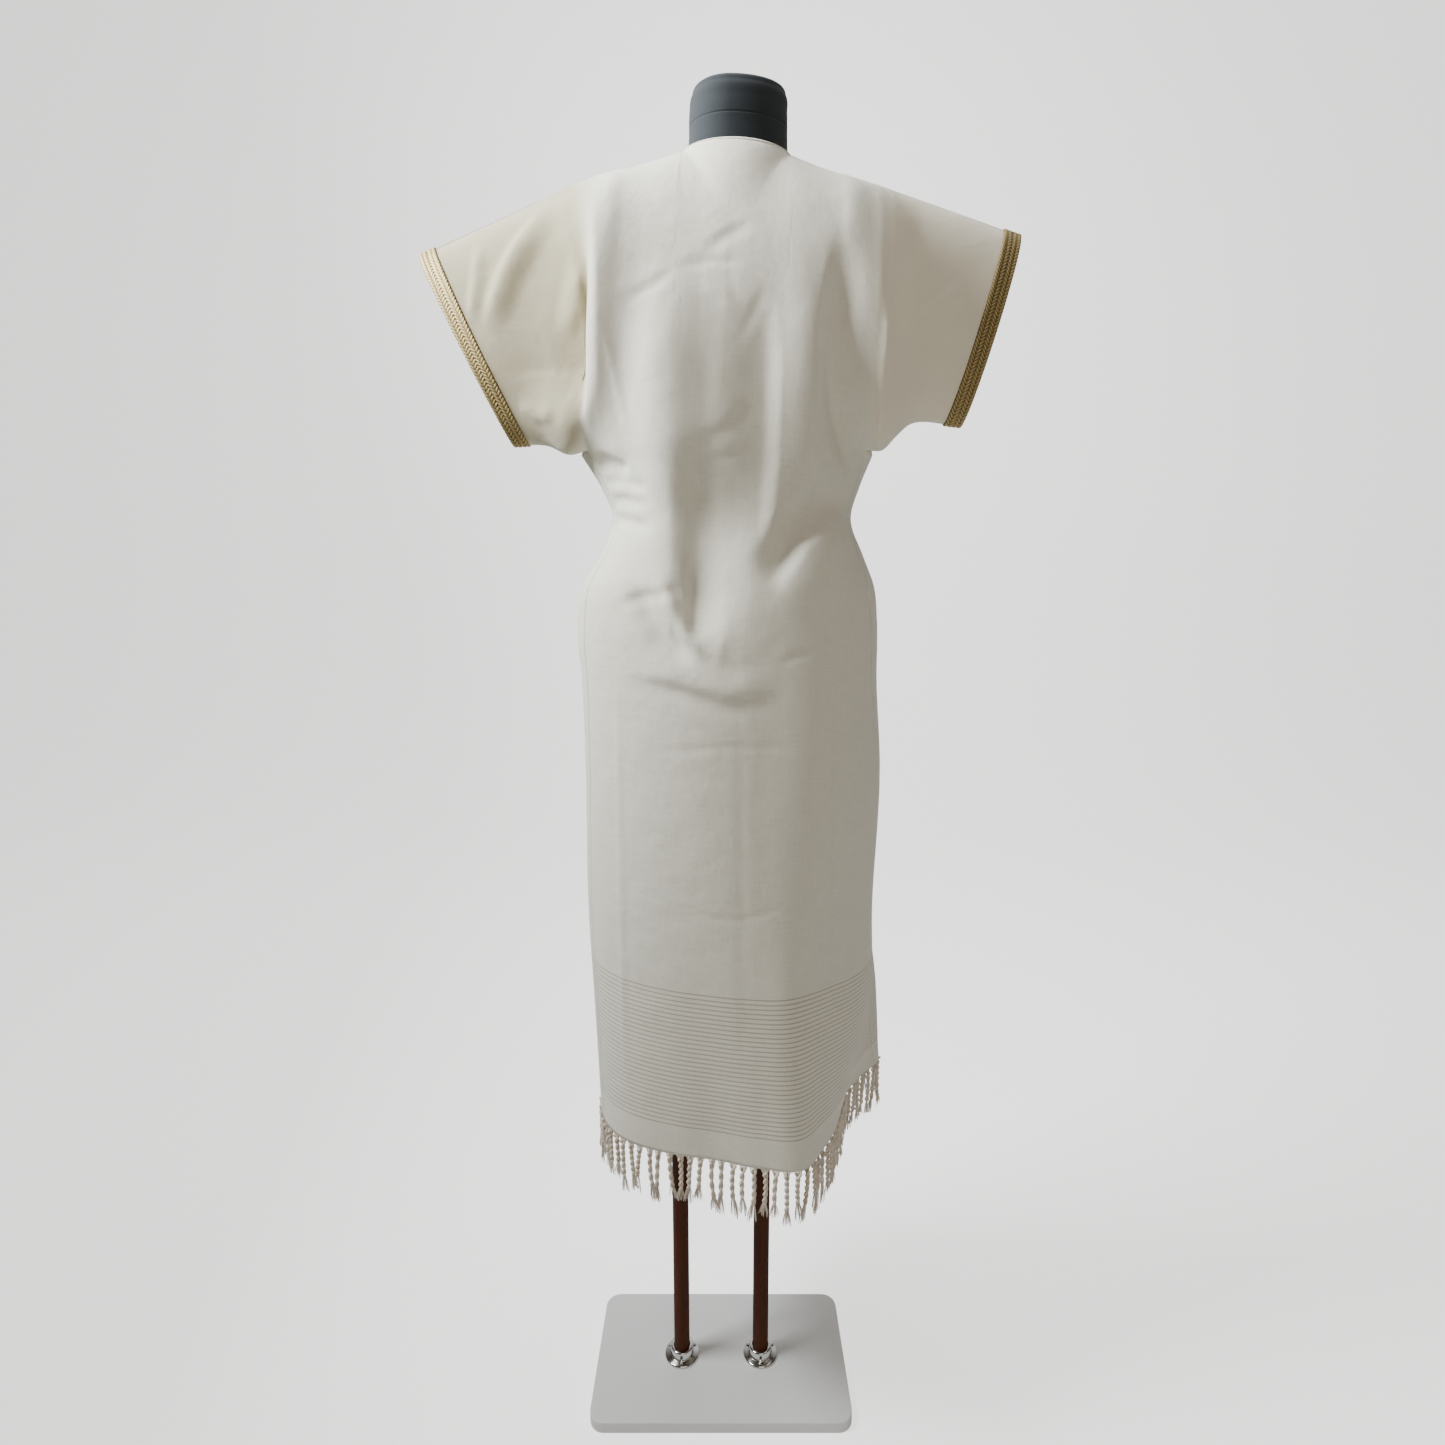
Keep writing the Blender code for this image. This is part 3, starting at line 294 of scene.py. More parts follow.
# squares in from a side seam, how far the yoke's columns belly out there
FULLNESS = np.array((
    (0, 0.072), (1, 0.068), (2, 0.059), (3, 0.046), (4, 0.034), (5, 0.026), (7, 0.016), (9, 0.009), (12, 0.006),
))
RIGHT_BACK_FULLNESS = np.array((
    (0, 0.064), (1, 0.058), (2, 0.047), (3, 0.037), (4, 0.029), (5, 0.024), (7, 0.016), (9, 0.009), (12, 0.006),
))
FRONT_SHARE = 0.97        # the front's fullness as a share of the back's
SLEEVE_FADE = (1.5, 5.5)  # squares outside the side seam where the sleeve's oval fades from, and over how many
SLEEVE_TAPER = 1.3        # how fast the sleeve's belly grows towards the armhole
COLLAR_REACH = (0.012, 0.046)    # depth below the neckline over which the cloth rises to it, corner and nape
COLLAR_SWELL = 1.6        # how much fuller than straight that rise is
NECK_ARCH = 0.036         # height over the neck of the arch that carries on the shoulders' slope, times four
ARMPIT_RISE = 1 / 3       # share of the yoke's height within which an armpit's fold opens


def torso_rows(heights, front):
    """Rows of the tube from the left seam to the right, evenly spaced along the cloth."""
    left_seam, right_seam = (smooth(heights, TUBE[:, 0], TUBE[:, k]) for k in (5, 6))
    last = right_seam - (360 if front else 0)
    share = np.linspace(0, 1, FINE_STEPS)
    directions = left_seam[:, None] + (last - left_seam)[:, None] * share
    along = distance_along(tube(heights[:, None], directions))
    wanted = across[torso_columns] / TORSO
    even = np.stack([np.interp(wanted * run[-1], run, turn) for run, turn in zip(along, directions)])
    return tube(heights[:, None], even)


def yoke_rows(front, lower):
    """Rows from the underarm edge to the top edge: quarter ovals on the torso, half ovals on the sleeves.

    The neck's columns aim at the shoulder line too, but stop at the neckline; the nape then rises to it.
    """
    upper = top_edge(front)
    outwards = 1 if front else -1
    share = np.clip((across - NECK_LEFT) / NECK, 0, 1)
    sweep = 2 * np.sqrt(share * (1 - share))
    line = OVERARM_LEFT[0] + (OVERARM_RIGHT[0] - OVERARM_LEFT[0]) * share[:, None]
    line[:, 2] += NECK_ARCH * share * (1 - share)
    shoulder = np.where((sweep > 0)[:, None], line, upper)
    into_torso = np.minimum(across, TORSO - across)
    sleeve = 1 - ease((into_torso + SLEEVE_FADE[0]) / SLEEVE_FADE[1])
    inwards = 1 - np.clip(-into_torso / SLEEVE, 0, 1)
    right_table = FULLNESS if front else RIGHT_BACK_FULLNESS
    bellies = []
    for table in (FULLNESS, right_table):
        sleeve_belly = CUFF_BELLY + (table[0, 1] - CUFF_BELLY) * inwards ** SLEEVE_TAPER
        bellies.append(np.where(into_torso < 0, sleeve_belly, smooth(into_torso, table[:, 0], table[:, 1])))
    belly = np.where(across < TORSO / 2, *bellies) * (FRONT_SHARE if front else 1)
    spread = lower[:, 0].copy()
    for start, end in ((-ARMPIT_FOLD[0], ARMPIT_FOLD[1]), (TORSO - ARMPIT_FOLD[1], TORSO + ARMPIT_FOLD[0])):
        fold = (across >= start) & (across <= end)
        spread[fold] = np.interp(across[fold], (start, end), np.interp((start, end), across, lower[:, 0]))

    def hang(rise):
        """Points at shares of the way up from the lower edge to the shoulder line."""
        arm = (1 - np.cos(np.pi * rise)) / 2
        climb = (1 - sleeve) * np.sin(np.pi * rise / 2) + sleeve * arm
        inward = (1 - sleeve) * (1 - np.cos(np.pi * rise / 2)) + sleeve * arm
        lower_x = lower[:, 0] + (spread - lower[:, 0]) * ease(rise / ARMPIT_RISE)
        x = lower_x + (shoulder[:, 0] - lower_x) * climb
        y = lower[:, 1] + (shoulder[:, 1] - lower[:, 1]) * inward + outwards * belly * np.sin(np.pi * rise)
        z = lower[:, 2] + (shoulder[:, 2] - lower[:, 2]) * climb
        return np.stack((x, y, z), axis=-1)

    trial = np.linspace(NECKLINE_FROM, 1, FINE_STEPS)
    curves = hang(trial[:, None])
    reach = np.ones(len(across))
    missing = np.zeros(len(across))
    for column in np.flatnonzero(sweep):
        inwards_run = -outwards * curves[:, column, 1]
        reach[column] = np.interp(-outwards * upper[column, 1], inwards_run, trial)
        missing[column] = upper[column, 2] - np.interp(reach[column], trial, curves[:, column, 2])
    points = hang(((up[armpit_row:] - ARMPIT_ROW) / YOKE)[:, None] * reach)
    if not front:
        depth = outwards * (points[..., 1] - upper[:, 1]) / np.interp(sweep ** 2, (0, 1), COLLAR_REACH)
        points[..., 2] += missing * (1 + COLLAR_SWELL * np.clip(depth, 0, 1)) * (1 - ease(depth))
    return points


def plain_panel(front):
    """Every grid point of a panel, hem to top; points of the empty corners beside the skirt stay unused."""
    points = np.zeros((len(up), len(across), 3))
    heights = np.interp(up[:armpit_row + 1], (0, SKIRT, ARMPIT_ROW), (HEM, SKIRT_TOP, UNDERARM))
    rows = torso_rows(heights, front)
    points[:armpit_row + 1, torso_columns] = rows
    points[armpit_row:] = yoke_rows(front, underarm_edge(rows[-1]))
    return points


used = np.zeros((len(up), len(across)), dtype=bool)
used[:, torso_columns] = True
used[armpit_row:] = True

# %% [markdown]
# ## Which way is out
# Folds push the cloth in or out along its own normal, so the panel needs one at every point. Four used
# corners make a face; a face's normal is the cross product of its diagonals, and a point takes the sum of its
# faces'. Along a seam both panels add up, so the two edges move together and stay shut.

# %% Faces and normals
def panel_faces(front):
    """Four corner numbers of every face whose corners are all used, counter-clockwise seen from outside."""
    number = np.arange(used.size).reshape(used.shape)
    whole = used[:-1, :-1] & used[1:, :-1] & used[:-1, 1:] & used[1:, 1:]
    near, above = number[:-1, :-1][whole], number[1:, :-1][whole]
    beside, far = number[:-1, 1:][whole], number[1:, 1:][whole]
    order = (near, above, far, beside) if front else (near, beside, far, above)
    return np.stack(order, axis=-1)


def face_vectors(flat, faces):
    """The cross product of each face's diagonals: it points out of the face, and is twice its area long."""
    return np.cross(flat[faces[:, 2]] - flat[faces[:, 0]], flat[faces[:, 3]] - flat[faces[:, 1]])


def summed_normals(points, faces):
    """At each point, the sum of its faces' normals."""
    flat = points.reshape(-1, 3)
    face_normals = unit(face_vectors(flat, faces))
    total = np.zeros_like(flat)
    for corner in range(4):
        np.add.at(total, faces[:, corner], face_normals)
    return total.reshape(points.shape)


column_squares, row_squares = np.meshgrid(across, up)
beyond_side = np.minimum(np.abs(column_squares), np.abs(column_squares - TORSO))
from_side = np.maximum(beyond_side, row_squares - ARMPIT_ROW)
from_underarm = np.maximum(
    np.abs(row_squares - ARMPIT_ROW), np.minimum(column_squares, TORSO - column_squares)
)
from_shoulder = np.maximum(
    TOP - row_squares, np.minimum(column_squares - NECK_LEFT, NECK_RIGHT - column_squares)
)
from_seam = np.minimum(np.minimum(from_side, from_underarm), from_shoulder)
on_seam = from_seam < 1e-6
print("points on a seam:", int(on_seam.sum()))

# %% [markdown]
# ## Folds and creases
# Large folds have a line, a height and a width to each side of it. The cloth rises as half a cosine wave
# across the line and fades out to both ends. Small creases are made the same way with smaller numbers. Both
# are placed where the cloth hangs from the shoulder blades, drops into the waist and rests on the
# hips; the hidden front gets the same kinds.

# %% Tables of folds
# what it is, height out of the cloth, width to the left and to the right of its line, points x and height
BACK_FOLDS = (
    ("left blade ridge", 0.010, 0.050, 0.055,
     ((-0.050, 1.470), (-0.058, 1.366), (-0.060, 1.287), (-0.060, 1.105))),
    ("centre valley", -0.008, 0.055, 0.020, ((0.040, 1.430), (0.046, 1.340), (0.044, 1.240), (0.034, 1.130))),
    ("right blade ridge", 0.006, 0.040, 0.026,
     ((0.090, 1.450), (0.095, 1.330), (0.095, 1.260), (0.084, 1.190))),
    ("right armhole valley", -0.009, 0.020, 0.034,
     ((0.132, 1.490), (0.119, 1.380), (0.120, 1.320), (0.148, 1.220))),
    ("left armhole valley", -0.012, 0.045, 0.014, ((-0.158, 1.480), (-0.153, 1.380), (-0.155, 1.290))),
    ("left sleeve hollow", -0.020, 0.110, 0.030,
     ((-0.160, 1.530), (-0.156, 1.420), (-0.158, 1.340), (-0.166, 1.285))),
    ("waist shadow", -0.011, 0.034, 0.074,
     ((-0.018, 1.290), (-0.022, 1.180), (-0.028, 1.100), (-0.028, 1.040))),
    ("right waist trough", -0.011, 0.036, 0.022,
     ((0.166, 1.226), (0.114, 1.200), (0.080, 1.168), (0.044, 1.110))),
    ("right waist ridge", 0.0035, 0.036, 0.060,
     ((0.176, 1.206), (0.124, 1.160), (0.094, 1.122), (0.048, 1.066))),
    ("hip hook", -0.007, 0.020, 0.016, ((-0.104, 1.122), (-0.084, 1.090), (-0.064, 1.062), (-0.024, 1.028))),
    ("seat droop", 0.003, 0.014, 0.030, ((-0.125, 1.026), (-0.060, 1.018), (0.006, 1.000), (0.075, 1.008))),
    ("right hip edge", 0.005, 0.060, 0.036, ((0.104, 1.160), (0.101, 0.990), (0.101, 0.757), (0.106, 0.520))),
)
FRONT_FOLDS = (
    ("left bust fold", 0.009, 0.040, 0.030, ((-0.060, 1.330), (-0.058, 1.240), (-0.050, 1.140))),
    ("front trough", -0.008, 0.035, 0.035, ((0.012, 1.360), (0.016, 1.250), (0.010, 1.090))),
    ("right bust fold", 0.008, 0.030, 0.040, ((0.086, 1.320), (0.088, 1.220), (0.078, 1.130))),
    ("right waist trough", -0.009, 0.030, 0.028, ((0.136, 1.220), (0.104, 1.160), (0.060, 1.110))),
    ("left waist trough", -0.007, 0.028, 0.026, ((-0.118, 1.215), (-0.090, 1.150), (-0.050, 1.100))),
)
BACK_CREASES = (
    ("blade crease, left", -0.0020, 0.010, 0.008, ((-0.106, 1.406), (-0.072, 1.420), (-0.044, 1.436))),
    ("blade crease, middle", -0.0014, 0.007, 0.008, ((-0.050, 1.439), (-0.011, 1.445), (0.024, 1.443))),
    ("blade crease, right", -0.0015, 0.014, 0.008, ((-0.020, 1.452), (0.006, 1.473), (0.036, 1.488))),
    ("blade crumple", 0.0010, 0.014, 0.012, ((-0.022, 1.424), (0.004, 1.410), (0.020, 1.386))),
    ("centre crease", -0.0009, 0.012, 0.007, ((0.012, 1.360), (0.034, 1.396), (0.048, 1.424))),
    ("trough crease", -0.0016, 0.022, 0.007, ((-0.030, 1.262), (0.008, 1.282), (0.036, 1.312))),
    ("trough crease, lower", -0.0012, 0.008, 0.006, ((-0.030, 1.246), (0.000, 1.250), (0.030, 1.256))),
    ("left sleeve ridge", 0.0060, 0.014, 0.026,
     ((-0.176, 1.535), (-0.224, 1.481), (-0.238, 1.455), (-0.262, 1.390))),
    ("left sleeve facet", 0.0026, 0.008, 0.016, ((-0.268, 1.500), (-0.273, 1.450), (-0.281, 1.400))),
    ("left sleeve inner ridge", 0.0045, 0.016, 0.012, ((-0.160, 1.470), (-0.172, 1.425), (-0.180, 1.375))),
    ("left sleeve foot", 0.0030, 0.010, 0.014, ((-0.235, 1.320), (-0.208, 1.304), (-0.182, 1.300))),
    ("left torso edge", 0.0018, 0.012, 0.045,
     ((-0.140, 1.430), (-0.139, 1.368), (-0.143, 1.294), (-0.139, 1.250))),
    ("left torso crease", 0.0011, 0.007, 0.010, ((-0.128, 1.400), (-0.112, 1.330), (-0.098, 1.262))),
    ("right sleeve dent", -0.0060, 0.020, 0.026, ((0.208, 1.515), (0.202, 1.450), (0.192, 1.370))),
    ("right sleeve ridge", 0.0045, 0.014, 0.012, ((0.190, 1.374), (0.229, 1.410), (0.272, 1.446))),
    ("right armpit fold", 0.0035, 0.008, 0.012, ((0.178, 1.430), (0.173, 1.330), (0.178, 1.250))),
    ("right torso crease", -0.0030, 0.006, 0.012, ((0.118, 1.370), (0.122, 1.310), (0.150, 1.225))),
    ("left waist pocket", -0.0070, 0.014, 0.012, ((-0.150, 1.262), (-0.126, 1.250), (-0.098, 1.238))),
    ("left waist fold, upper", -0.0026, 0.010, 0.010, ((-0.140, 1.236), (-0.106, 1.229), (-0.070, 1.218))),
    ("left waist roll, upper", 0.0015, 0.010, 0.009, ((-0.142, 1.224), (-0.108, 1.220), (-0.072, 1.211))),
    ("left waist fold, middle", -0.0014, 0.009, 0.010, ((-0.140, 1.213), (-0.106, 1.211), (-0.066, 1.203))),
    ("left waist roll, lower", 0.0017, 0.011, 0.010, ((-0.142, 1.203), (-0.108, 1.199), (-0.072, 1.190))),
    ("left waist fold, lower", -0.0028, 0.012, 0.010, ((-0.146, 1.196), (-0.108, 1.188), (-0.068, 1.176))),
    ("hip hook edge", -0.0022, 0.013, 0.010,
     ((-0.122, 1.092), (-0.092, 1.103), (-0.066, 1.106), (-0.040, 1.114))),
    ("hip hook ridge", 0.0036, 0.013, 0.012,
     ((-0.074, 1.138), (-0.056, 1.098), (-0.038, 1.064), (-0.016, 1.034))),
    ("waist shadow point", -0.0050, 0.012, 0.040, ((-0.036, 1.156), (-0.030, 1.100), (-0.027, 1.050))),
    ("seat droop crease", -0.0015, 0.018, 0.014,
     ((-0.122, 1.008), (-0.055, 1.001), (0.006, 0.983), (0.080, 0.992))),
    ("seat crumple", 0.0009, 0.010, 0.012, ((0.008, 1.090), (0.000, 1.050), (-0.008, 1.020))),
    ("seat crumple, right", -0.0012, 0.007, 0.007, ((0.062, 1.032), (0.084, 1.040), (0.104, 1.042))),
    ("pressed crease, left", 0.0012, 0.006, 0.009, ((-0.117, 1.090), (-0.119, 0.869), (-0.121, 0.430))),
    ("pressed crease, middle", -0.0006, 0.008, 0.008, ((0.021, 1.060), (0.024, 0.764), (0.029, 0.430))),
    ("pressed crease, right", 0.0010, 0.008, 0.008, ((0.123, 1.045), (0.126, 0.873), (0.129, 0.560))),
    ("pressed cross crease, upper", -0.0008, 0.006, 0.006,
     ((-0.100, 0.930), (-0.001, 0.940), (0.100, 0.941))),
    ("pressed cross crease, lower", -0.0008, 0.006, 0.006, ((-0.040, 0.742), (0.022, 0.740), (0.084, 0.756))),
)
FRONT_CREASES = (
    ("chest crease, left", -0.0020, 0.007, 0.007, ((-0.090, 1.420), (-0.066, 1.408), (-0.040, 1.400))),
    ("chest crease, right", -0.0020, 0.007, 0.007, ((0.060, 1.398), (0.088, 1.410), (0.112, 1.424))),
    ("left sleeve ridge", 0.0060, 0.014, 0.022, ((-0.180, 1.528), (-0.222, 1.478), (-0.250, 1.400))),
    ("right sleeve ridge", 0.0055, 0.022, 0.014, ((0.198, 1.528), (0.232, 1.470), (0.262, 1.400))),
    ("left waist fold", -0.0038, 0.010, 0.008, ((-0.122, 1.212), (-0.095, 1.205), (-0.070, 1.198))),
    ("right waist fold", -0.0038, 0.008, 0.010, ((0.080, 1.196), (0.106, 1.204), (0.134, 1.210))),
    ("lap droop", -0.0030, 0.008, 0.012, ((-0.096, 1.030), (0.010, 1.004), (0.116, 1.026))),
    ("pressed crease, left", 0.0010, 0.007, 0.008, ((-0.084, 1.080), (-0.086, 0.430))),
    ("pressed crease, middle", -0.0008, 0.008, 0.008, ((0.018, 1.060), (0.020, 0.430))),
    ("pressed crease, right", 0.0010, 0.008, 0.007, ((0.118, 1.060), (0.126, 0.430))),
    ("pressed cross crease", -0.0008, 0.006, 0.006, ((-0.090, 0.870), (0.020, 0.880), (0.120, 0.872))),
)
FOLD_FADE = (0.35, 0.30)  # shares of a fold's line over which it rises and sinks
SEAM_CALM = 2.5           # squares from a seam within which the large folds fade
CREASE_CALM = 0.6         # and the small creases


def raised(points, folds, calm):
    """Height of all folds at each point: half a cosine wave across each line, eased in and out along it."""
    push = np.zeros(points.shape[:2])
    for _, height, left, right, line in folds:
        line = np.array(line)
        passed = distance_along(line)
        passed /= passed[-1]
        nearest = np.full(push.shape, np.inf)
        hump = np.zeros(push.shape)
        for start, end, before, share in zip(line, line[1:], passed, np.diff(passed)):
            run = end - start
            dx = points[..., 0] - start[0]
            dz = points[..., 2] - start[1]
            t = np.clip((dx * run[0] + dz * run[1]) / (run @ run), 0, 1)
            off = np.hypot(dx - t * run[0], dz - t * run[1])
            width = np.where(dx * run[1] - dz * run[0] < 0, right, left)
            along = before + t * share
            fade = ease(along / FOLD_FADE[0]) * ease((1 - along) / FOLD_FADE[1])
            wave = height * fade * (1 + np.cos(np.pi * np.clip(off / width, 0, 1))) / 2
            hump = np.where(off < nearest, wave, hump)
            nearest = np.minimum(nearest, off)
        push += hump
    return push * ease(from_seam / calm)


# %% [markdown]
# ## Both panels together
# The two panels are hung, folded and given their normals side by side, because they share the seams. The
# flat measures along the threads are kept too: they become the UV map that the weave and the stripes use.
# Last, a strip along the top edge rises by one more layer, where the real cloth is turned under.

# %% Hanging both panels
NECK_HEM = 0.0075         # width of the turned neck hem
ALLOWANCE = 0.0085        # width of the cloth turned under and stitched down below the overarm seams
TURNED_RISE = 0.0009      # what the second layer adds
TURNED_STEP = 0.002       # width of the step at which it ends
NECK_CORNER = 0.3         # squares inside a neck corner over which one width passes into the other


def thread_lengths(points):
    """Metres along the cloth at each point: across from the middle column, and up from the hem."""
    sideways = distance_along(points)
    middle = len(across) // 2
    sideways = sideways - sideways[:, middle:middle + 1]
    upwards = np.swapaxes(distance_along(np.swapaxes(points, 0, 1)), 0, 1)
    sleeves = np.ones(len(across), dtype=bool)
    sleeves[torso_columns] = False
    seam_height = upwards[armpit_row, torso_columns[0]]
    upwards[:, sleeves] += seam_height - upwards[armpit_row, sleeves]
    return np.stack((sideways, upwards), axis=-1)


def hung_panel(front, folds, creases):
    """A panel's points with its folds and creases, its faces, and its measures along the threads."""
    plain = plain_panel(front)
    faces = panel_faces(front)
    normals = unit(summed_normals(plain, faces))
    points = plain + normals * raised(plain, folds, SEAM_CALM)[..., None]
    points = points + unit(summed_normals(points, faces)) * raised(plain, creases, CREASE_CALM)[..., None]
    return {"points": points, "faces": faces, "lengths": thread_lengths(plain)}


panels = {
    "back": hung_panel(False, BACK_FOLDS, BACK_CREASES),
    "front": hung_panel(True, FRONT_FOLDS, FRONT_CREASES),
}
inside_neck = ease(np.minimum(column_squares - NECK_LEFT, NECK_RIGHT - column_squares) / NECK_CORNER)
turned_width = ALLOWANCE + (NECK_HEM - ALLOWANCE) * inside_neck
shared = sum(summed_normals(panel["points"], panel["faces"]) for panel in panels.values())
for side, panel in panels.items():
    own = summed_normals(panel["points"], panel["faces"])
    panel["normals"] = unit(np.where(on_seam[..., None], shared, own))
    panel["below_top"] = panel["lengths"][-1, :, 1] - panel["lengths"][..., 1]
    rise = TURNED_RISE * ease((turned_width - panel["below_top"]) / TURNED_STEP)
    panel["points"] = panel["points"] + panel["normals"] * rise[..., None]
    print(side, "panel:", len(panel["faces"]), "faces")

# %% [markdown]
# ## From arrays to Blender meshes
# Blender takes whole arrays at once, which is much faster than adding points one by one. One helper makes
# every mesh of this lesson: it drops unused points, lifts the piece onto the board, writes its UV maps and
# shades it smooth. Cloth and braid are surfaces until Solidify gives them their wall.

# %% The mesh helpers
def add_mesh(name, points, faces, material, uvs=None, sharp=None):
    """A mesh object at the origin from points, four-sided faces and UV maps of two measures for each point."""
    points = np.asarray(points, dtype=float).reshape(-1, 3)
    keep, corners = np.unique(faces, return_inverse=True)
    corners = corners.reshape(faces.shape)
    mesh = bpy.data.meshes.new(name)
    mesh.from_pydata((points[keep] + (0, 0, BOARD_TOP)).tolist(), [], corners.tolist())
    for layer_name, measures in (uvs or {}).items():
        layer = mesh.uv_layers.new(name=layer_name)
        layer.data.foreach_set("uv", measures.reshape(-1, 2)[keep][corners.ravel()].ravel())
    mesh.shade_smooth()
    if sharp is not None:
        mesh.set_sharp_from_angle(angle=math.radians(sharp))
    mesh.materials.append(material)
    piece = bpy.data.objects.new(name, mesh)
    bpy.context.scene.collection.objects.link(piece)
    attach(piece, "root")
    return piece


def thicken(piece, thickness):
    """Solidify inwards, so that the outer face stays where it was worked out."""
    wall = piece.modifiers.new("wall", "SOLIDIFY")
    wall.thickness = thickness
    wall.offset = -1.0


# %% [markdown]
# ## Materials from small recipes
# Each finish is one function. A recipe starts with a principled surface, adds noise for what hands and looms
# leave uneven, and a little bump. Numbers that are the same all over sit on the shader itself. These helpers
# are the verbs of all recipes: add a node, calculate, mix, blur a border, read a UV map, scatter noise.

# %% Recipe helpers
def new_material(name, colour, roughness, metallic=0.0):
    """A material and its principled surface."""
    material = bpy.data.materials.new(name)
    material.use_nodes = True
    material.diffuse_color = (*colour, 1.0)
    shader = material.node_tree.nodes["Principled BSDF"]
    shader.inputs["Base Color"].default_value = (*colour, 1.0)
    shader.inputs["Roughness"].default_value = roughness
    shader.inputs["Metallic"].default_value = metallic
    return material, shader


def add_node(material, kind, settings=None, **links):
    """One node: settings fill its sockets with values, and links join other nodes' sockets to it."""
    node = material.node_tree.nodes.new(kind)
    for key, value in (settings or {}).items():
        if key in node.inputs:
            node.inputs[key].default_value = value
        else:
            setattr(node, key, value)
    for key, source in links.items():
        material.node_tree.links.new(source, node.inputs[key])
    return node


def feed(material, source, shader, socket):
    """Join a node's result to one of the shader's sockets."""
    material.node_tree.links.new(source, shader.inputs[socket])


def sums(material, operation, first, second=0.0):
    """A Math node's result; each term is a number or another node's socket."""
    node = add_node(material, "ShaderNodeMath", {"operation": operation})
    for socket, term in zip(node.inputs, (first, second)):
        if isinstance(term, (int, float)):
            socket.default_value = term
        else:
            material.node_tree.links.new(term, socket)
    return node.outputs[0]


def mixed(material, share, first, second):
    """A colour between two, by a share; each colour is a tuple or another node's socket."""
    node = add_node(material, "ShaderNodeMix", {"data_type": "RGBA"})
    material.node_tree.links.new(share, node.inputs["Factor"])
    for socket, colour in ((node.inputs[6], first), (node.inputs[7], second)):
        if isinstance(colour, tuple):
            socket.default_value = (*colour, 1.0)
        else:
            material.node_tree.links.new(colour, socket)
    return node.outputs[2]


def between(material, value, start, end):
    """A soft step: 0 up to the start, 1 from the end on. The start may be the greater of the two."""
    ends = {"interpolation_type": "SMOOTHSTEP", "From Min": start, "From Max": end}
    return add_node(material, "ShaderNodeMapRange", ends, Value=value).outputs["Result"]


def noise(material, place, scale, detail=2.0):
    """Noise from 0 to 1; three scales in place of one stretch it along the axes with the small ones."""
    if isinstance(scale, tuple):
        place = add_node(material, "ShaderNodeMapping", {"Scale": scale}, Vector=place).outputs[0]
        scale = 1.0
    settings = {"Scale": scale, "Detail": detail}
    return add_node(material, "ShaderNodeTexNoise", settings, Vector=place).outputs["Fac"]


def object_place(material):
    """Where a point is on its piece, in metres, so that a grain has the same size on all pieces."""
    return add_node(material, "ShaderNodeTexCoord").outputs["Object"]


def map_measures(material, uv_map):
    """A UV map as a vector, and its first and its second measure."""
    vector = add_node(material, "ShaderNodeUVMap", {"uv_map": uv_map}).outputs["UV"]
    parts = add_node(material, "ShaderNodeSeparateXYZ", Vector=vector)
    return vector, parts.outputs["X"], parts.outputs["Y"]


def bump(material, shader, height, strength, distance):
    """Bump on a surface from one height socket."""
    node = add_node(material, "ShaderNodeBump", {"Strength": strength, "Distance": distance}, Height=height)
    feed(material, node.outputs["Normal"], shader, "Normal")


# %% [markdown]
# ## The striped cotton
# The cloth is plain-woven ivory cotton. Near the hem 31 thin grey-brown weft threads cross it at an even
# pitch. They follow the threads, not the room, so the recipe counts them up the UV map's second measure.
# Over the dark form the ivory looks cool. The sleeves are painted warmer, for the light that comes through
# them, and the left one is painted darker as shade.

# %% The cotton's colours
STRIPE_COUNT = 31
STRIPE_PITCH = 0.00607
LOWEST_STRIPE = 0.040     # metres of cloth between the hem and the lowest stripe
STRIPE_WIDTH = 0.0016
STRIPE_WAVER = 0.0012     # how far a stripe wanders up and down
STRIPE_STRENGTH = 0.75
STRIPE_BROWN = (0.36, 0.30, 0.23)
IVORY = (0.80, 0.77, 0.645)
YARN_SHADES = (0.80, 1.14)            # the darkest and the lightest yarn, in times the ivory
LEFT_SLEEVE_PAINTED_SHADE = (0.38, 0.325, 0.185)    # painted shade and warm light through the cloth: the left sleeve is painted the darker one
# painted light: light coming through the right sleeve's cloth, painted in as a warmer, lighter tone
RIGHT_SLEEVE_PAINTED_LIGHT = (0.90, 0.83, 0.64)
SLEEVE_PAINT_SHARE = 0.85                   # how much of the sleeves' painted light and shade shows
SLEEVE_FROM = (0.165, 0.215)          # metres to each side of the middle between which the sleeves' painted tone begins
SLEEVE_RISE = (-0.02, 0.03)           # and metres over the armpit


def stripe_mask(material, height):
    """1 on a stripe, 0 beside it: pitches over the lowest one, whose fraction is near a half."""
    count = sums(material, "DIVIDE", sums(material, "SUBTRACT", height, LOWEST_STRIPE), STRIPE_PITCH)
    phase = sums(material, "ABSOLUTE", sums(material, "SUBTRACT", sums(material, "FRACT", count), 0.5))
    line = sums(material, "LESS_THAN", phase, STRIPE_WIDTH / STRIPE_PITCH / 2)
    above = sums(material, "GREATER_THAN", count, 0.0)
    below = sums(material, "LESS_THAN", count, float(STRIPE_COUNT))
    return sums(material, "MULTIPLY", line, sums(material, "MULTIPLY", above, below))


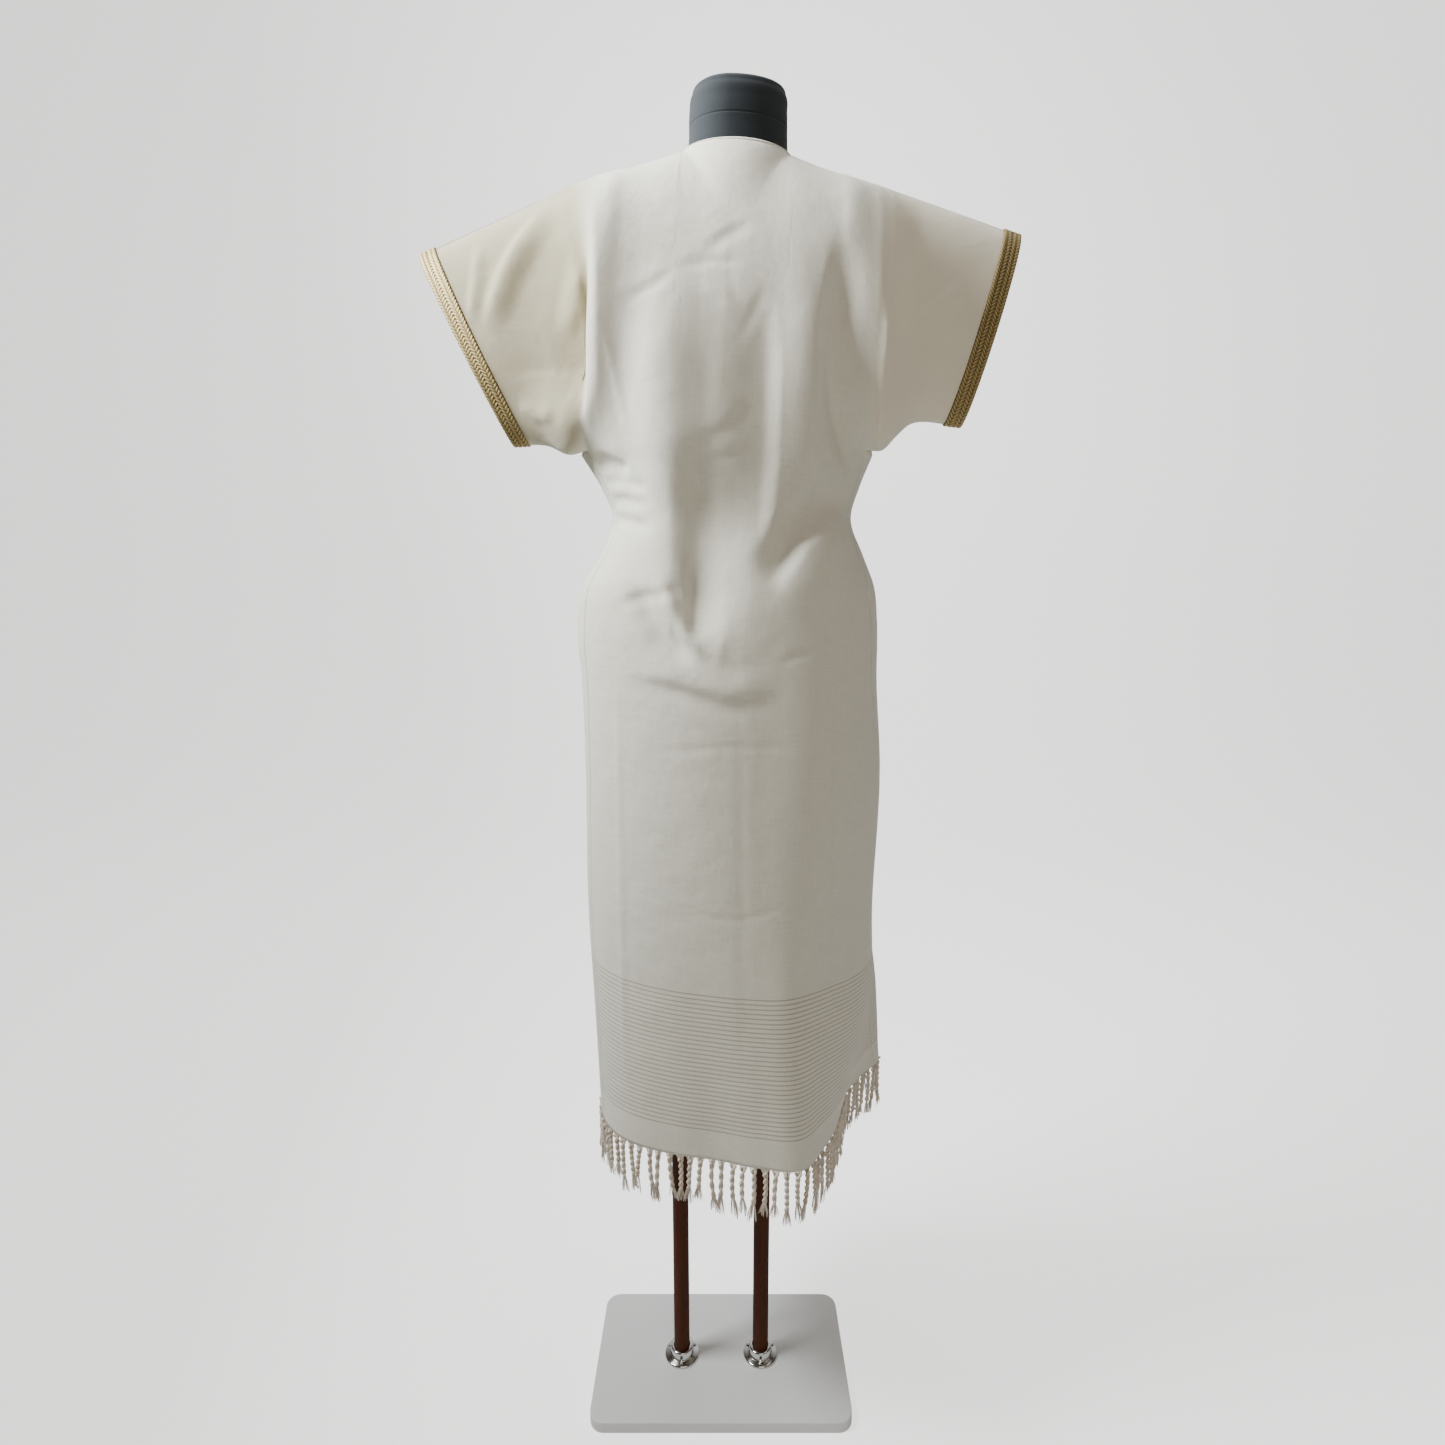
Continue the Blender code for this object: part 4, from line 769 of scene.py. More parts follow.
def with_painted_sleeve_light(material, ground, sideways, height, armpit_height):
    """The ground's colour, with each sleeve's painted light and shade outside the body and above the armpit."""
    outside = between(material, sums(material, "ABSOLUTE", sideways), *SLEEVE_FROM)
    above = between(material, height, *(armpit_height + rise for rise in SLEEVE_RISE))
    painted_sleeve_share = sums(material, "MULTIPLY", sums(material, "MULTIPLY", outside, above), SLEEVE_PAINT_SHARE)
    on_right = sums(material, "GREATER_THAN", sideways, 0.0)
    # the sleeves' tones are painted light and shade laid over the ground's colour
    return mixed(material, painted_sleeve_share, ground, mixed(material, on_right, LEFT_SLEEVE_PAINTED_SHADE, RIGHT_SLEEVE_PAINTED_LIGHT))


# %% [markdown]
# A weave this fine could be geometry only in a close-up, so here it is a bump of two crossed waves, with
# noise stretched along the threads for the slubs of hand-loomed yarn. Turned edges always pucker a little,
# because the seam's thread is tighter than the cloth: that is one more noise, stretched down from the edge.

# %% The cotton recipe
THREAD_PITCH = 0.0007
WEAVE = 0.3               # height of the weave's waves, in times a yarn's
HANDLED = 16.0            # height of the soft unevenness left by handling, likewise
PUCKER = 6.0              # height of the puckers along the turned edges, likewise
PUCKER_SCALE = (130.0, 9.0, 1.0)      # puckers for each metre along the edge, and down from it
PUCKER_REACH = (0.018, 0.004)         # distance below the edge at which they start, and have their full height
WARP_SLUBS = (560.0, 45.0, 1.0)
WEFT_SLUBS = (40.0, 560.0, 1.0)


def cloth_relief(material, threads, sideways, upwards, yarn):
    """Height of the cloth: yarns, plus sine times sine of both measures, plus handling, plus puckers."""
    turn = 2 * math.pi / THREAD_PITCH
    waves = [sums(material, "SINE", sums(material, "MULTIPLY", way, turn)) for way in (sideways, upwards)]
    weave = sums(material, "MULTIPLY", sums(material, "MULTIPLY", *waves), WEAVE)
    handling = sums(material, "MULTIPLY", noise(material, threads, 26.0, 3.0), HANDLED)
    edges, _, below_top = map_measures(material, "edges")
    pull = sums(material, "MULTIPLY", noise(material, edges, PUCKER_SCALE, 1.0), PUCKER)
    puckers = sums(material, "MULTIPLY", between(material, below_top, *PUCKER_REACH), pull)
    relief = yarn
    for term in (weave, handling, puckers):
        relief = sums(material, "ADD", relief, term)
    return relief


def cotton(armpit_height):
    """Ivory cotton with its stripes, the painted light and shade on its sleeves, and its woven relief."""
    material, shader = new_material("ivory_cotton", IVORY, 0.92)
    shader.inputs["Sheen Weight"].default_value = 0.25
    shader.inputs["Sheen Roughness"].default_value = 0.6
    threads, sideways, upwards = map_measures(material, "threads")
    waver = sums(material, "MULTIPLY", noise(material, threads, 9.0), STRIPE_WAVER)
    height = sums(material, "ADD", upwards, waver)
    slubs = [noise(material, threads, scale) for scale in (WARP_SLUBS, WEFT_SLUBS)]
    yarn = sums(material, "MULTIPLY", sums(material, "ADD", *slubs), 0.5)
    ground = mixed(material, yarn, *(tuple(shade * c for c in IVORY) for shade in YARN_SHADES))
    # painted light and shade on the sleeves
    ground = with_painted_sleeve_light(material, ground, sideways, height, armpit_height)
    stripes = sums(material, "MULTIPLY", stripe_mask(material, height), STRIPE_STRENGTH)
    feed(material, mixed(material, stripes, ground, STRIPE_BROWN), shader, "Base Color")
    bump(material, shader, cloth_relief(material, threads, sideways, upwards, yarn), 0.4, 0.0004)
    return material


cotton_material = cotton(float(panels["back"]["lengths"][armpit_row, 0, 1]))
print("stripes reach from %.3f to %.3f m up the cloth" % (
    LOWEST_STRIPE, LOWEST_STRIPE + STRIPE_COUNT * STRIPE_PITCH))

# %% [markdown]
# ## The two panels as cloth
# Each panel becomes a mesh and gets its thickness from Solidify, inwards. Its cut is measured along the
# threads: a T whose width runs from cuff to cuff and whose length runs from the shoulder to the hem.

# %% Panels
for side, panel in panels.items():
    lengths = panel["lengths"]
    maps = {"threads": lengths, "edges": np.stack((lengths[..., 0], panel["below_top"]), axis=-1)}
    piece = add_mesh(side + "_cloth", panel["points"], panel["faces"], cotton_material, maps)
    thicken(piece, CLOTH)
    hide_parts(side + "_panel")
    width = float(np.ptp(lengths[armpit_row:, :, 0], axis=1).max())
    length = float(lengths[-1, :, 1].max())
    vectors = face_vectors(panel["points"].reshape(-1, 3), panel["faces"])
    area = float(np.linalg.norm(vectors, axis=1).sum() / 2)
    panel["flat"] = (round(width, 3), round(length, 3))
    panel["area"] = round(area, 3)
    print(side, "cut: %.3f by %.3f m, %.3f square metres" % (width, length, area))

# %% [markdown]
# ## The gold braid's thread
# The braid is a flat plait of metallic thread. The recipe and the relief share one formula, so the painted
# shade in the gaps of the plait falls between its ridges: slanted sine ridges, whose slant changes from lane to
# lane.

# %% The gold recipe
GOLD = (0.42, 0.33, 0.13)
# painted shade in the gaps of the plait
GAP_PAINTED_SHADE = (0.10, 0.065, 0.02)
GLITTER = ((0.28, 0.20, 0.07), (0.84, 0.68, 0.33))    # the darkest and the lightest thread
BRAID_LANES = 4
LANE = BRAID_WIDTH / BRAID_LANES
PLAIT_PITCH = 0.0042


def gold_thread():
    """Dull gold: metallic, with painted shade in the gaps of the plait, and fine glitter from thread to thread.

    Plait: |sin(pi (X + zigzag of Y) / pitch)| times the root of |sin(pi Y / lane)|, as in the band's relief.
    """
    material, shader = new_material("gold_braid", GOLD, 0.55, 0.70)
    threads, along, over = map_measures(material, "threads")
    fine = noise(material, threads, 1400.0)
    lane = sums(material, "DIVIDE", over, LANE)
    zigzag = sums(material, "MULTIPLY", sums(material, "PINGPONG", lane, 1.0), LANE)
    slant = sums(material, "MULTIPLY", sums(material, "ADD", along, zigzag), math.pi / PLAIT_PITCH)
    ridge = sums(material, "ABSOLUTE", sums(material, "SINE", slant))
    gap = sums(material, "ABSOLUTE", sums(material, "SINE", sums(material, "MULTIPLY", lane, math.pi)))
    plait = sums(material, "MULTIPLY", ridge, sums(material, "POWER", gap, 0.5))
    # painted shade: where the plait's share is low, in its gaps, the colour goes to dark brown
    feed(material, mixed(material, plait, GAP_PAINTED_SHADE, mixed(material, fine, *GLITTER)), shader, "Base Color")
    bump(material, shader, fine, 0.8, 0.0004)
    return material


# %% [markdown]
# ## The braid at the cuffs
# The real braid is 22 mm wide and sewn round each cuff outside the cloth. It could be made of interlaced
# strips, but at this size a relief reads the same: the band is a surface of two parameters, round the cuff
# and across it. It starts from the last square of both sleeves' cloth, so it fits the cuff exactly.

# %% The braid
PLAIT_RELIEF = 0.0010
BAND_LIFT = 0.0002        # gap between the cloth and the band
BAND_STEP = 0.0009        # size of the relief's steps round the cuff
BAND_STEPS = 20           # and their number across the band
BAND_EDGE = 0.04          # share of the width over which the band's edges fall
BAND_DEPTH = 0.8          # depth of the band's wall below its top, in times its thickness


def cuff_strip(edge, inner):
    """Points and normals of the cloth round a cuff, between two columns: up the back and down the front."""
    columns = (across >= min(edge, inner)) & (across <= max(edge, inner))
    strips = []
    for kind in ("points", "normals"):
        back, front = (panels[side][kind][armpit_row:, columns] for side in ("back", "front"))
        strips.append(np.concatenate((back, front[::-1][1:-1], back[:1])))
    return strips


def strip_grid(strip, along, wanted, share):
    """A strip's values at distances round the cuff and shares of its width, straight between its own points."""
    finer = np.stack([read_along(wanted, along, strip[:, k]) for k in range(strip.shape[1])], axis=1)
    last = strip.shape[1] - 1
    cell = np.clip((share * last).astype(int), 0, last - 1)
    t = (share * last - cell)[None, :, None]
    return finer[:, cell] * (1 - t) + finer[:, cell + 1] * t


def braid(name, edge, inner, material):
    """A band round a cuff. Height over the cloth: a gap, plus the thickness, plus slanted ridges by lane.

    Ridge: |sin(pi (distance round + zigzag) / pitch)|; the zigzag climbs one lane and falls the next.
    """
    strip, strip_normals = cuff_strip(edge, inner)
    along = distance_along(strip.mean(axis=1))
    wanted = np.linspace(0, along[-1], int(along[-1] / BAND_STEP) + 1)
    share = np.linspace(0, 1, BAND_STEPS + 1)
    base = strip_grid(strip, along, wanted, share)
    out = unit(strip_grid(strip_normals, along, wanted, share))
    across_band = share * BRAID_WIDTH
    zigzag = LANE * (1 - np.abs(1 - np.mod(across_band / LANE, 2)))
    ridge = np.abs(np.sin(np.pi * (wanted[:, None] + zigzag) / PLAIT_PITCH))
    lane_round = np.sqrt(np.abs(np.sin(np.pi * share * BRAID_LANES)))
    edge_fall = ease(np.minimum(share, 1 - share) / BAND_EDGE)
    height = BAND_LIFT + BRAID_THICKNESS * edge_fall + PLAIT_RELIEF * ridge * lane_round
    surface = base + out * height[..., None]
    number = np.arange(height.size).reshape(height.shape)
    number[-1] = number[0]
    corners = (number[:-1, :-1], number[:-1, 1:], number[1:, 1:], number[1:, :-1])
    faces = np.stack(corners, axis=-1).reshape(-1, 4)
    flat = surface.reshape(-1, 3)
    from_middle = flat[faces].mean(axis=1) - base.reshape(-1, 3).mean(axis=0)
    if (face_vectors(flat, faces) * from_middle).sum() < 0:
        faces = faces[:, ::-1]
    uv = np.stack(np.broadcast_arrays(wanted[:, None], across_band[None, :]), axis=-1)
    piece = add_mesh(name + "_band", surface, faces, material, {"threads": uv})
    thicken(piece, BAND_LIFT + BRAID_THICKNESS * BAND_DEPTH)
    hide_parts(name)
    print(name, "is %.3f m round" % along[-1])
    return piece


gold_material = gold_thread()
left_braid = braid("left_cuff_braid", -SLEEVE, -SLEEVE + 1, gold_material)
right_braid = braid("right_cuff_braid", TORSO + SLEEVE, TORSO + SLEEVE - 1, gold_material)

# %% [markdown]
# ## Tubes and rings
# Threads, stitches, poles and the form are all rings of points joined by walls. Every thread is a tube along
# a path, and all tubes of one kind are worked out as one array: lock, ring, side.

# %% Rings, walls and caps
def ring_walls(number):
    """Faces between each ring of point numbers and the next; a ring's last point joins its first."""
    after = np.roll(number, -1, axis=-1)
    corners = (number[..., :-1, :], after[..., :-1, :], after[..., 1:, :], number[..., 1:, :])
    return np.stack(corners, axis=-1).reshape(-1, 4)


def capped(number):
    """Walls between rings, and flat caps of four-sided strips over the last ring and under the first."""
    strip = np.arange(number.shape[1] // 2 - 1)
    corners = np.stack((strip, strip + 1, -2 - strip, -1 - strip), axis=-1)
    return np.concatenate((ring_walls(number), number[-1][corners], number[0][corners[:, (0, 3, 2, 1)]]))


def tubes(paths, radii, sides):
    """Tubes: a ring of points round each place of each path, square to the path, with end caps.

    paths is threads by rings by 3, radii is threads by rings. Ring = place + radius (cos a, sin a).
    The caps close a tube with an even number of sides; with an odd one a small gap stays at each end.
    """
    ahead = unit(np.gradient(paths, axis=1))
    helper = np.zeros_like(ahead) + (0.13, 0.99, 0.05)
    first = unit(np.cross(ahead, helper))
    second = np.cross(ahead, first)
    turn = 2 * np.pi * np.arange(sides) / sides
    ring = first[:, :, None] * np.cos(turn)[:, None] + second[:, :, None] * np.sin(turn)[:, None]
    points = paths[:, :, None] + ring * radii[:, :, None, None]
    number = np.arange(points[..., 0].size).reshape(points.shape[:3])
    caps = []
    for ring_number, order in ((0, 1), (-1, -1)):
        corner = number[:, ring_number]
        for k in range(1, sides - 2, 2):
            caps.append(corner[:, (0, k, k + 1, k + 2)][:, ::-order])
    return points.reshape(-1, 3), np.concatenate([ring_walls(number)] + caps)


def joined(parts):
    """Several (points, faces) pairs as one, with the face numbers moved on."""
    points, faces, start = [], [], 0
    for part_points, part_faces in parts:
        points.append(part_points)
        faces.append(part_faces + start)
        start += len(part_points)
    return np.concatenate(points), np.concatenate(faces)


# %% [markdown]
# ## The fringe's locks
# Below the hem the weaver leaves the warp ends, gathers them in small bundles, and twists each bundle into a
# lock of two plies whose ends fray. Chance, from a fixed seed, gives each lock its own length, sway and number
# of twists. About a third of the neighbours lean together in pairs.

# %% The locks
LOCKS = 40                # below each panel
FRINGE_LENGTH = 0.079     # of the longest lock
LOCK_SHARES = (0.78, 1.0)
ROOT_SCATTER = 0.0012     # how far a lock's root is from its even place
SWAY = 0.0060             # how far its end hangs to one side
LEAN = (-0.004, 0.003)    # and inwards or outwards
BEND = 0.002
PAIRED = 0.35             # share of neighbours that lean together
TOGETHER = 0.40           # how far they do, in times the distance of two locks
TWISTS = (2.5, 4.5)
FRAYS_FROM = (0.62, 0.74)
FRINGE_SEEDS = {"back": 24, "front": 25}


def hem_at(panel, distance):
    """Places, outward and sideways directions along a panel's hem, at distances from its left seam."""
    line = panel["points"][0, torso_columns]
    along = distance_along(line)
    place = read_along(distance, along, line)
    side = unit(read_along(distance, along, np.gradient(line, along, axis=0)))
    out = unit(read_along(distance, along, panel["normals"][0, torso_columns]))
    out = unit(out * (1, 1, 0))
    return place - out * CLOTH / 2, out, side


def draw_locks(panel, chance):
    """What the hem and chance give each lock, by name: arrays of one value for each lock."""
    pitch = distance_along(panel["points"][0, torso_columns])[-1] / LOCKS
    roots = pitch * (np.arange(LOCKS) + 0.5) + chance.uniform(-ROOT_SCATTER, ROOT_SCATTER, LOCKS)
    locks = dict(zip(("place", "out", "side"), hem_at(panel, roots)))
    locks["drop"] = FRINGE_LENGTH * chance.uniform(*LOCK_SHARES, LOCKS)
    sway = chance.uniform(-SWAY, SWAY, LOCKS)
    leans_to_mate = np.repeat(chance.uniform(0, 1, LOCKS // 2) < PAIRED, 2)
    mate = np.where(np.arange(LOCKS) % 2 == 0, 1.0, -1.0)
    locks["sway"] = np.where(leans_to_mate, mate * TOGETHER * pitch, sway)
    ranges = {
        "lean": LEAN, "bend": (-BEND, BEND), "twists": TWISTS, "start": (0, 2 * np.pi), "fray": FRAYS_FROM,
    }
    for name, ends in ranges.items():
        locks[name] = chance.uniform(*ends, LOCKS)
    return {name: values[:, None] for name, values in locks.items()}


def beside(locks, line, sideways, outwards):
    """A line of each lock, moved sideways along the hem and outwards from it."""
    return line + locks["side"] * sideways[..., None] + locks["out"] * outwards[..., None]


def middle_line(locks, way):
    """The line that a lock's threads keep to: it falls by its length, and sways by a power of the way down."""
    sideways = locks["sway"] * way ** 1.6 + locks["bend"] * np.sin(np.pi * way * 1.3)
    line = beside(locks, locks["place"], sideways, locks["lean"] * way ** 1.5)
    line[..., 2] -= locks["drop"] * way
    return line


# %% [markdown]
# ## The fringe's threads
# A lock has three parts: the root threads that come out of the hem and meet, the two plies that circle each
# other, and the loose hairs of the frayed end. Each part is a set of tubes beside the lock's middle line.

# %% The fringe
PLY_RADIUS = 0.0018
PLY_OFFSET = 0.0014       # distance of a ply from the middle line
PLY_OPENING = 0.0022      # how much more of it there is at the root
OPENING_DEPTH = 0.006
HAIR_RADIUS = 0.00035
ROOT_THREADS = 8
ROOT_SPREAD = 0.0052
ROOT_RISE = 0.001         # how far the root threads start above the hem, inside the cloth
GATHERED = 0.013          # depth below the hem at which they meet
TAIL_HAIRS = 18
TAIL_SPREAD = 0.0062
TAIL_DEPTH = 0.0020


def thread_material(name, dark, light):
    """Cotton yarn: patches of a darker and a lighter shade, with the fine relief of spun fibres."""
    material, shader = new_material(name, light, 0.95)
    shader.inputs["Sheen Weight"].default_value = 0.2
    place = object_place(material)
    feed(material, mixed(material, noise(material, place, 60.0, 3.0), dark, light), shader, "Base Color")
    bump(material, shader, noise(material, place, 1500.0), 0.6, 0.0003)
    return material


def plies(locks):
    """Two tubes for each lock. They circle its middle line by turn = start + twists x way."""
    way = np.linspace(0.06, 1.0, 26) * locks["fray"]
    offset = PLY_OFFSET + PLY_OPENING * np.exp(-(way * locks["drop"] / OPENING_DEPTH) ** 2)
    for ply in (0, 1):
        turn = locks["start"] + 2 * np.pi * locks["twists"] * way + np.pi * ply
        path = beside(locks, middle_line(locks, way), offset * np.cos(turn), offset * np.sin(turn))
        yield tubes(path, PLY_RADIUS * (1 + 0.12 * np.sin(25 * way + 3 * ply)), 6)


def root_threads(locks):
    """Tubes from the hem, side by side, to the place where they meet: distance x (1 - a power of the depth)."""
    down = np.linspace(0, GATHERED, 5) / locks["drop"]
    meet = (down * locks["drop"] / GATHERED) ** 0.8
    offsets = np.linspace(-ROOT_SPREAD, ROOT_SPREAD, ROOT_THREADS)
    for offset, phase in zip(offsets, 2.4 * np.arange(ROOT_THREADS)):
        path = beside(locks, middle_line(locks, down), offset * (1 - meet), 0.0009 * np.sin(phase) * meet)
        path[:, 0, 2] += ROOT_RISE
        yield tubes(path, HAIR_RADIUS * 1.3 + 0 * down, 4)


def tails(locks, chance):
    """Loose hairs from the frayed end: they start close together inside the plies, then spread and thin."""
    on = np.linspace(-0.12, 1, 6)
    opening = 0.25 + 0.75 * np.clip(on, 0, 1) ** 0.7
    for _ in range(TAIL_HAIRS):
        spread = chance.uniform(-TAIL_SPREAD, TAIL_SPREAD, (LOCKS, 1))
        depth = chance.uniform(-TAIL_DEPTH, TAIL_DEPTH, (LOCKS, 1))
        down = locks["fray"] + (1 - locks["fray"]) * chance.uniform(0.6, 1.0, (LOCKS, 1)) * on
        path = beside(locks, middle_line(locks, down), spread * opening, depth * opening)
        yield tubes(path, HAIR_RADIUS * (1.5 - 0.6 * np.clip(on, 0, 1)) + 0 * down, 4)


def fringe(name, panel, seed, material):
    """All locks of one panel as one piece."""
    chance = np.random.default_rng(seed)
    locks = draw_locks(panel, chance)
    points, faces = joined([*plies(locks), *root_threads(locks), *tails(locks, chance)])
    piece = add_mesh(name + "_threads", points, faces, material)
    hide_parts(name)
    print(name, "has", LOCKS, "locks and", len(faces), "faces")
    return piece


yarn_material = thread_material("cotton_threads", (0.50, 0.40, 0.29), (0.86, 0.80, 0.70))
fringes = {
    side: fringe(side + "_fringe", panel, FRINGE_SEEDS[side], yarn_material) for side, panel in panels.items()
}

# %% [markdown]
# ## Stitches
# The neck is finished with a narrow turned hem, and the shoulder and overarm seams are stitched down beside
# the seam. Each stitch is a short thread that dips into the cloth at both ends, so it can be a small tube
# along an arch. They follow lines read off the panels, a set distance in from the edge.

# %% Stitch lines
STITCH_PITCH = 0.0032
STITCH_LENGTH = 0.0024
STITCH_RADIUS = 0.00036
STITCH_ARCH = 0.0004      # height of a stitch's arch, half of it over the cloth
OVERARM_INSET = 0.0070    # distance of the stitches below the overarm seams
NECK_INSET = 0.0062       # and below the neck's edge


def line_below_top(panel, columns, inset):
    """Points and normals a set distance down each of these columns from the panel's top edge."""
    line, out = (
        np.array([read_along(inset, panel["below_top"][::-1, k], panel[kind][::-1, k]) for k in columns])
        for kind in ("points", "normals")
    )
    return line, unit(out)


def stitches(line, out):
    """Five-sided tubes along a line: arches of five rings, whose partly open ends dip into the cloth."""
    along = distance_along(line)
    starts = np.arange(STITCH_PITCH, along[-1] - STITCH_PITCH, STITCH_PITCH)
    arch = np.sin(np.pi * np.linspace(0, 1, 5))
    at = starts[:, None] + STITCH_LENGTH * np.linspace(0, 1, 5)
    rise = STITCH_ARCH * (arch - 0.5)
    path = read_along(at, along, line) + unit(read_along(at, along, out)) * rise[:, None]
    return tubes(path, STITCH_RADIUS * (0.7 + 0.3 * arch) + 0 * at, 5)


neck_columns = np.flatnonzero((across >= NECK_LEFT) & (across <= NECK_RIGHT))
left_columns = np.flatnonzero(across <= NECK_LEFT)[::-1]
right_columns = np.flatnonzero(across >= NECK_RIGHT)
stitch_lines = [
    line_below_top(panels["back"], columns, OVERARM_INSET) for columns in (left_columns, right_columns)
]
stitch_lines += [line_below_top(panel, neck_columns, NECK_INSET) for panel in panels.values()]
stitch_points, stitch_faces = joined([stitches(*line) for line in stitch_lines])
seam_thread = thread_material("seam_thread", (0.30, 0.24, 0.17), (0.46, 0.39, 0.29))
stitching = add_mesh("topstitching", stitch_points, stitch_faces, seam_thread)
print("stitches:", len(stitch_faces), "faces")

# %% [markdown]
# ## The dress form
# The form is a limbless torso covered in dark jersey. Each ring blends an oval for the body with one for the
# neck by a smooth maximum: the eighth root of the sum of both radii's eighth powers. Near the shoulders the
# body's oval narrows to a ridge that the seams rest on.

# %% Form tables
FORM_MIDDLE = 0.010
# height, half width, reach to the back and to the front
FORM = np.array((
    (0.800, 0.146, 0.097, 0.083), (0.806, 0.152, 0.103, 0.087), (0.880, 0.156, 0.109, 0.090),
    (0.980, 0.162, 0.116, 0.092), (1.050, 0.158, 0.112, 0.091), (1.110, 0.142, 0.099, 0.089),
    (1.150, 0.126, 0.089, 0.087), (1.195, 0.116, 0.082, 0.087), (1.240, 0.114, 0.083, 0.094),
    (1.285, 0.122, 0.088, 0.108), (1.330, 0.138, 0.090, 0.110), (1.390, 0.152, 0.087, 0.092),
    (1.440, 0.162, 0.077, 0.068), (1.490, 0.168, 0.058, 0.045), (1.525, 0.169, 0.040, 0.029),
    (1.545, 0.165, 0.029, 0.019),
))
# height, reach to the left, right, back and front
FORM_NECK = np.array((
    (1.4800, 0.0560, 0.0740, 0.0600, 0.066), (1.5200, 0.0520, 0.0700, 0.0530, 0.056),
    (1.5450, 0.0490, 0.0660, 0.0470, 0.050), (1.5650, 0.0465, 0.0640, 0.0430, 0.048),
    (1.5780, 0.0480, 0.0645, 0.0410, 0.049), (1.5880, 0.0478, 0.0655, 0.0398, 0.051),
    (1.6050, 0.0460, 0.0650, 0.0390, 0.054), (1.6350, 0.0450, 0.0645, 0.0390, 0.055),
    (1.6500, 0.0425, 0.0635, 0.0370, 0.053), (1.6600, 0.0340, 0.0550, 0.0290, 0.045),
    (1.6640, 0.0190, 0.0400, 0.0160, 0.031),
))
SHOULDER_ENDS = (0.160, 0.107)    # half width of the form where the shoulder ridge starts, and at its top
RIDGE_BACK = 0.018                # the ridge's reach to the back
RIDGE_FRONT = (0.012, 0.002)      # and to the front, at both ends
FORM_CLEARANCE = 0.0028           # below the cloth's outer face
NECK_BASE = 1.5728
NECK_BEND = 1.650                 # height at which the neck's wall turns in to its domed top
BLEND_POWER = 8


def oval(turn, left, right, back, front):
    """Reach of four joined quarter ovals in each direction."""
    wide = np.where(np.cos(turn) > 0, right, left)
    deep = np.where(np.sin(turn) > 0, front, back)
    return 1 / np.hypot(np.cos(turn) / wide, np.sin(turn) / deep)


def form_rows():
    """Height, half width, back and front of every body ring: the table's, then the shoulder ridge's."""
    low, high = FORM[0, 0], FORM[-1, 0]
    heights = np.concatenate(((low, 0.803, 0.806), np.linspace(0.82, 1.49, 68), np.linspace(1.495, high, 11)))
    rows = np.column_stack((heights, smooth(heights, FORM[:, 0], FORM[:, 1:])))
    outer_half, inner_half = SHOULDER_ENDS
    inner, outer = OVERARM_RIGHT[1], OVERARM_RIGHT[2]
    slope = (outer[2] - inner[2]) / (outer[0] - inner[0])
    half = np.linspace(outer_half, inner_half, 12)
    ridge_height = inner[2] + slope * (FORM_MIDDLE + half - inner[0]) - FORM_CLEARANCE
    front = np.interp(half, (inner_half, outer_half), RIDGE_FRONT[::-1])
    ridge = np.column_stack((ridge_height, half, 0 * half + RIDGE_BACK, front))
    last = np.array(((NECK_BASE, inner_half * 0.6, RIDGE_BACK, RIDGE_FRONT[1] / 2),))
    return np.vstack((rows, ridge, last))


# %% [markdown]
# The cover is sewn shut by a seam round the neck: a fine groove, with a few more rings of points to hold it.

# %% The form
FORM_SIDES = 120
COVER_SEAM = 1.6185       # height of the seam that closes the neck's cover
SEAM_WIDTH = 0.0008
SEAM_DEPTH = 0.0006
CAP_SHARES = (0.8, 0.5, 0.2)              # sizes of the rings that close both ends, in times the last ring
CAP_RISES = (0.0012, 0.0022, 0.0027)      # how far they rise over the neck's last ring


def dress_form(material):
    """Rings from the flat underside to the domed neck top, closed at both ends.

    Radius = (body ^ 8 + neck ^ 8) ^ (1 / 8), less the cover seam's groove.
    """
    turn = 2 * np.pi * np.arange(FORM_SIDES) / FORM_SIDES
    rows = form_rows()
    top = FORM_NECK[-1, 0]
    neck_heights = np.concatenate((np.linspace(NECK_BASE, NECK_BEND, 40)[1:], np.linspace(1.651, top, 12)))
    neck_heights = np.union1d(neck_heights, COVER_SEAM + SEAM_WIDTH * np.linspace(-2, 2, 9))
    body = oval(turn, *(rows[:, k, None] for k in (1, 1, 2, 3)))
    heights = np.concatenate((rows[:, 0], neck_heights))[:, None]
    collar_reach = smooth(heights[:, 0], FORM_NECK[:, 0], FORM_NECK[:, 1:])
    collar = oval(turn, *(collar_reach[:, k, None] for k in range(4)))
    radius = np.vstack((body, np.zeros((len(neck_heights), FORM_SIDES))))
    both = (radius ** BLEND_POWER + collar ** BLEND_POWER) ** (1 / BLEND_POWER)
    radius = np.where(heights > FORM_NECK[0, 0], both, radius)
    radius = radius - SEAM_DEPTH * np.exp(-((heights - COVER_SEAM) / SEAM_WIDTH) ** 2)
    rings = np.stack((FORM_MIDDLE + radius * np.cos(turn), radius * np.sin(turn), heights + 0 * radius), -1)
    under, over = (
        ring.mean(axis=0) + (ring - ring.mean(axis=0)) * np.array(CAP_SHARES)[:, None, None]
        for ring in (rings[0], rings[-1])
    )
    over[..., 2] += np.array(CAP_RISES)[:, None]
    rings = np.concatenate((under[::-1], rings, over))
    number = np.arange(len(rings) * FORM_SIDES).reshape(-1, FORM_SIDES)
    piece = add_mesh("form_cover", rings, capped(number), material, sharp=60)
    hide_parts("dress_form")
    return piece


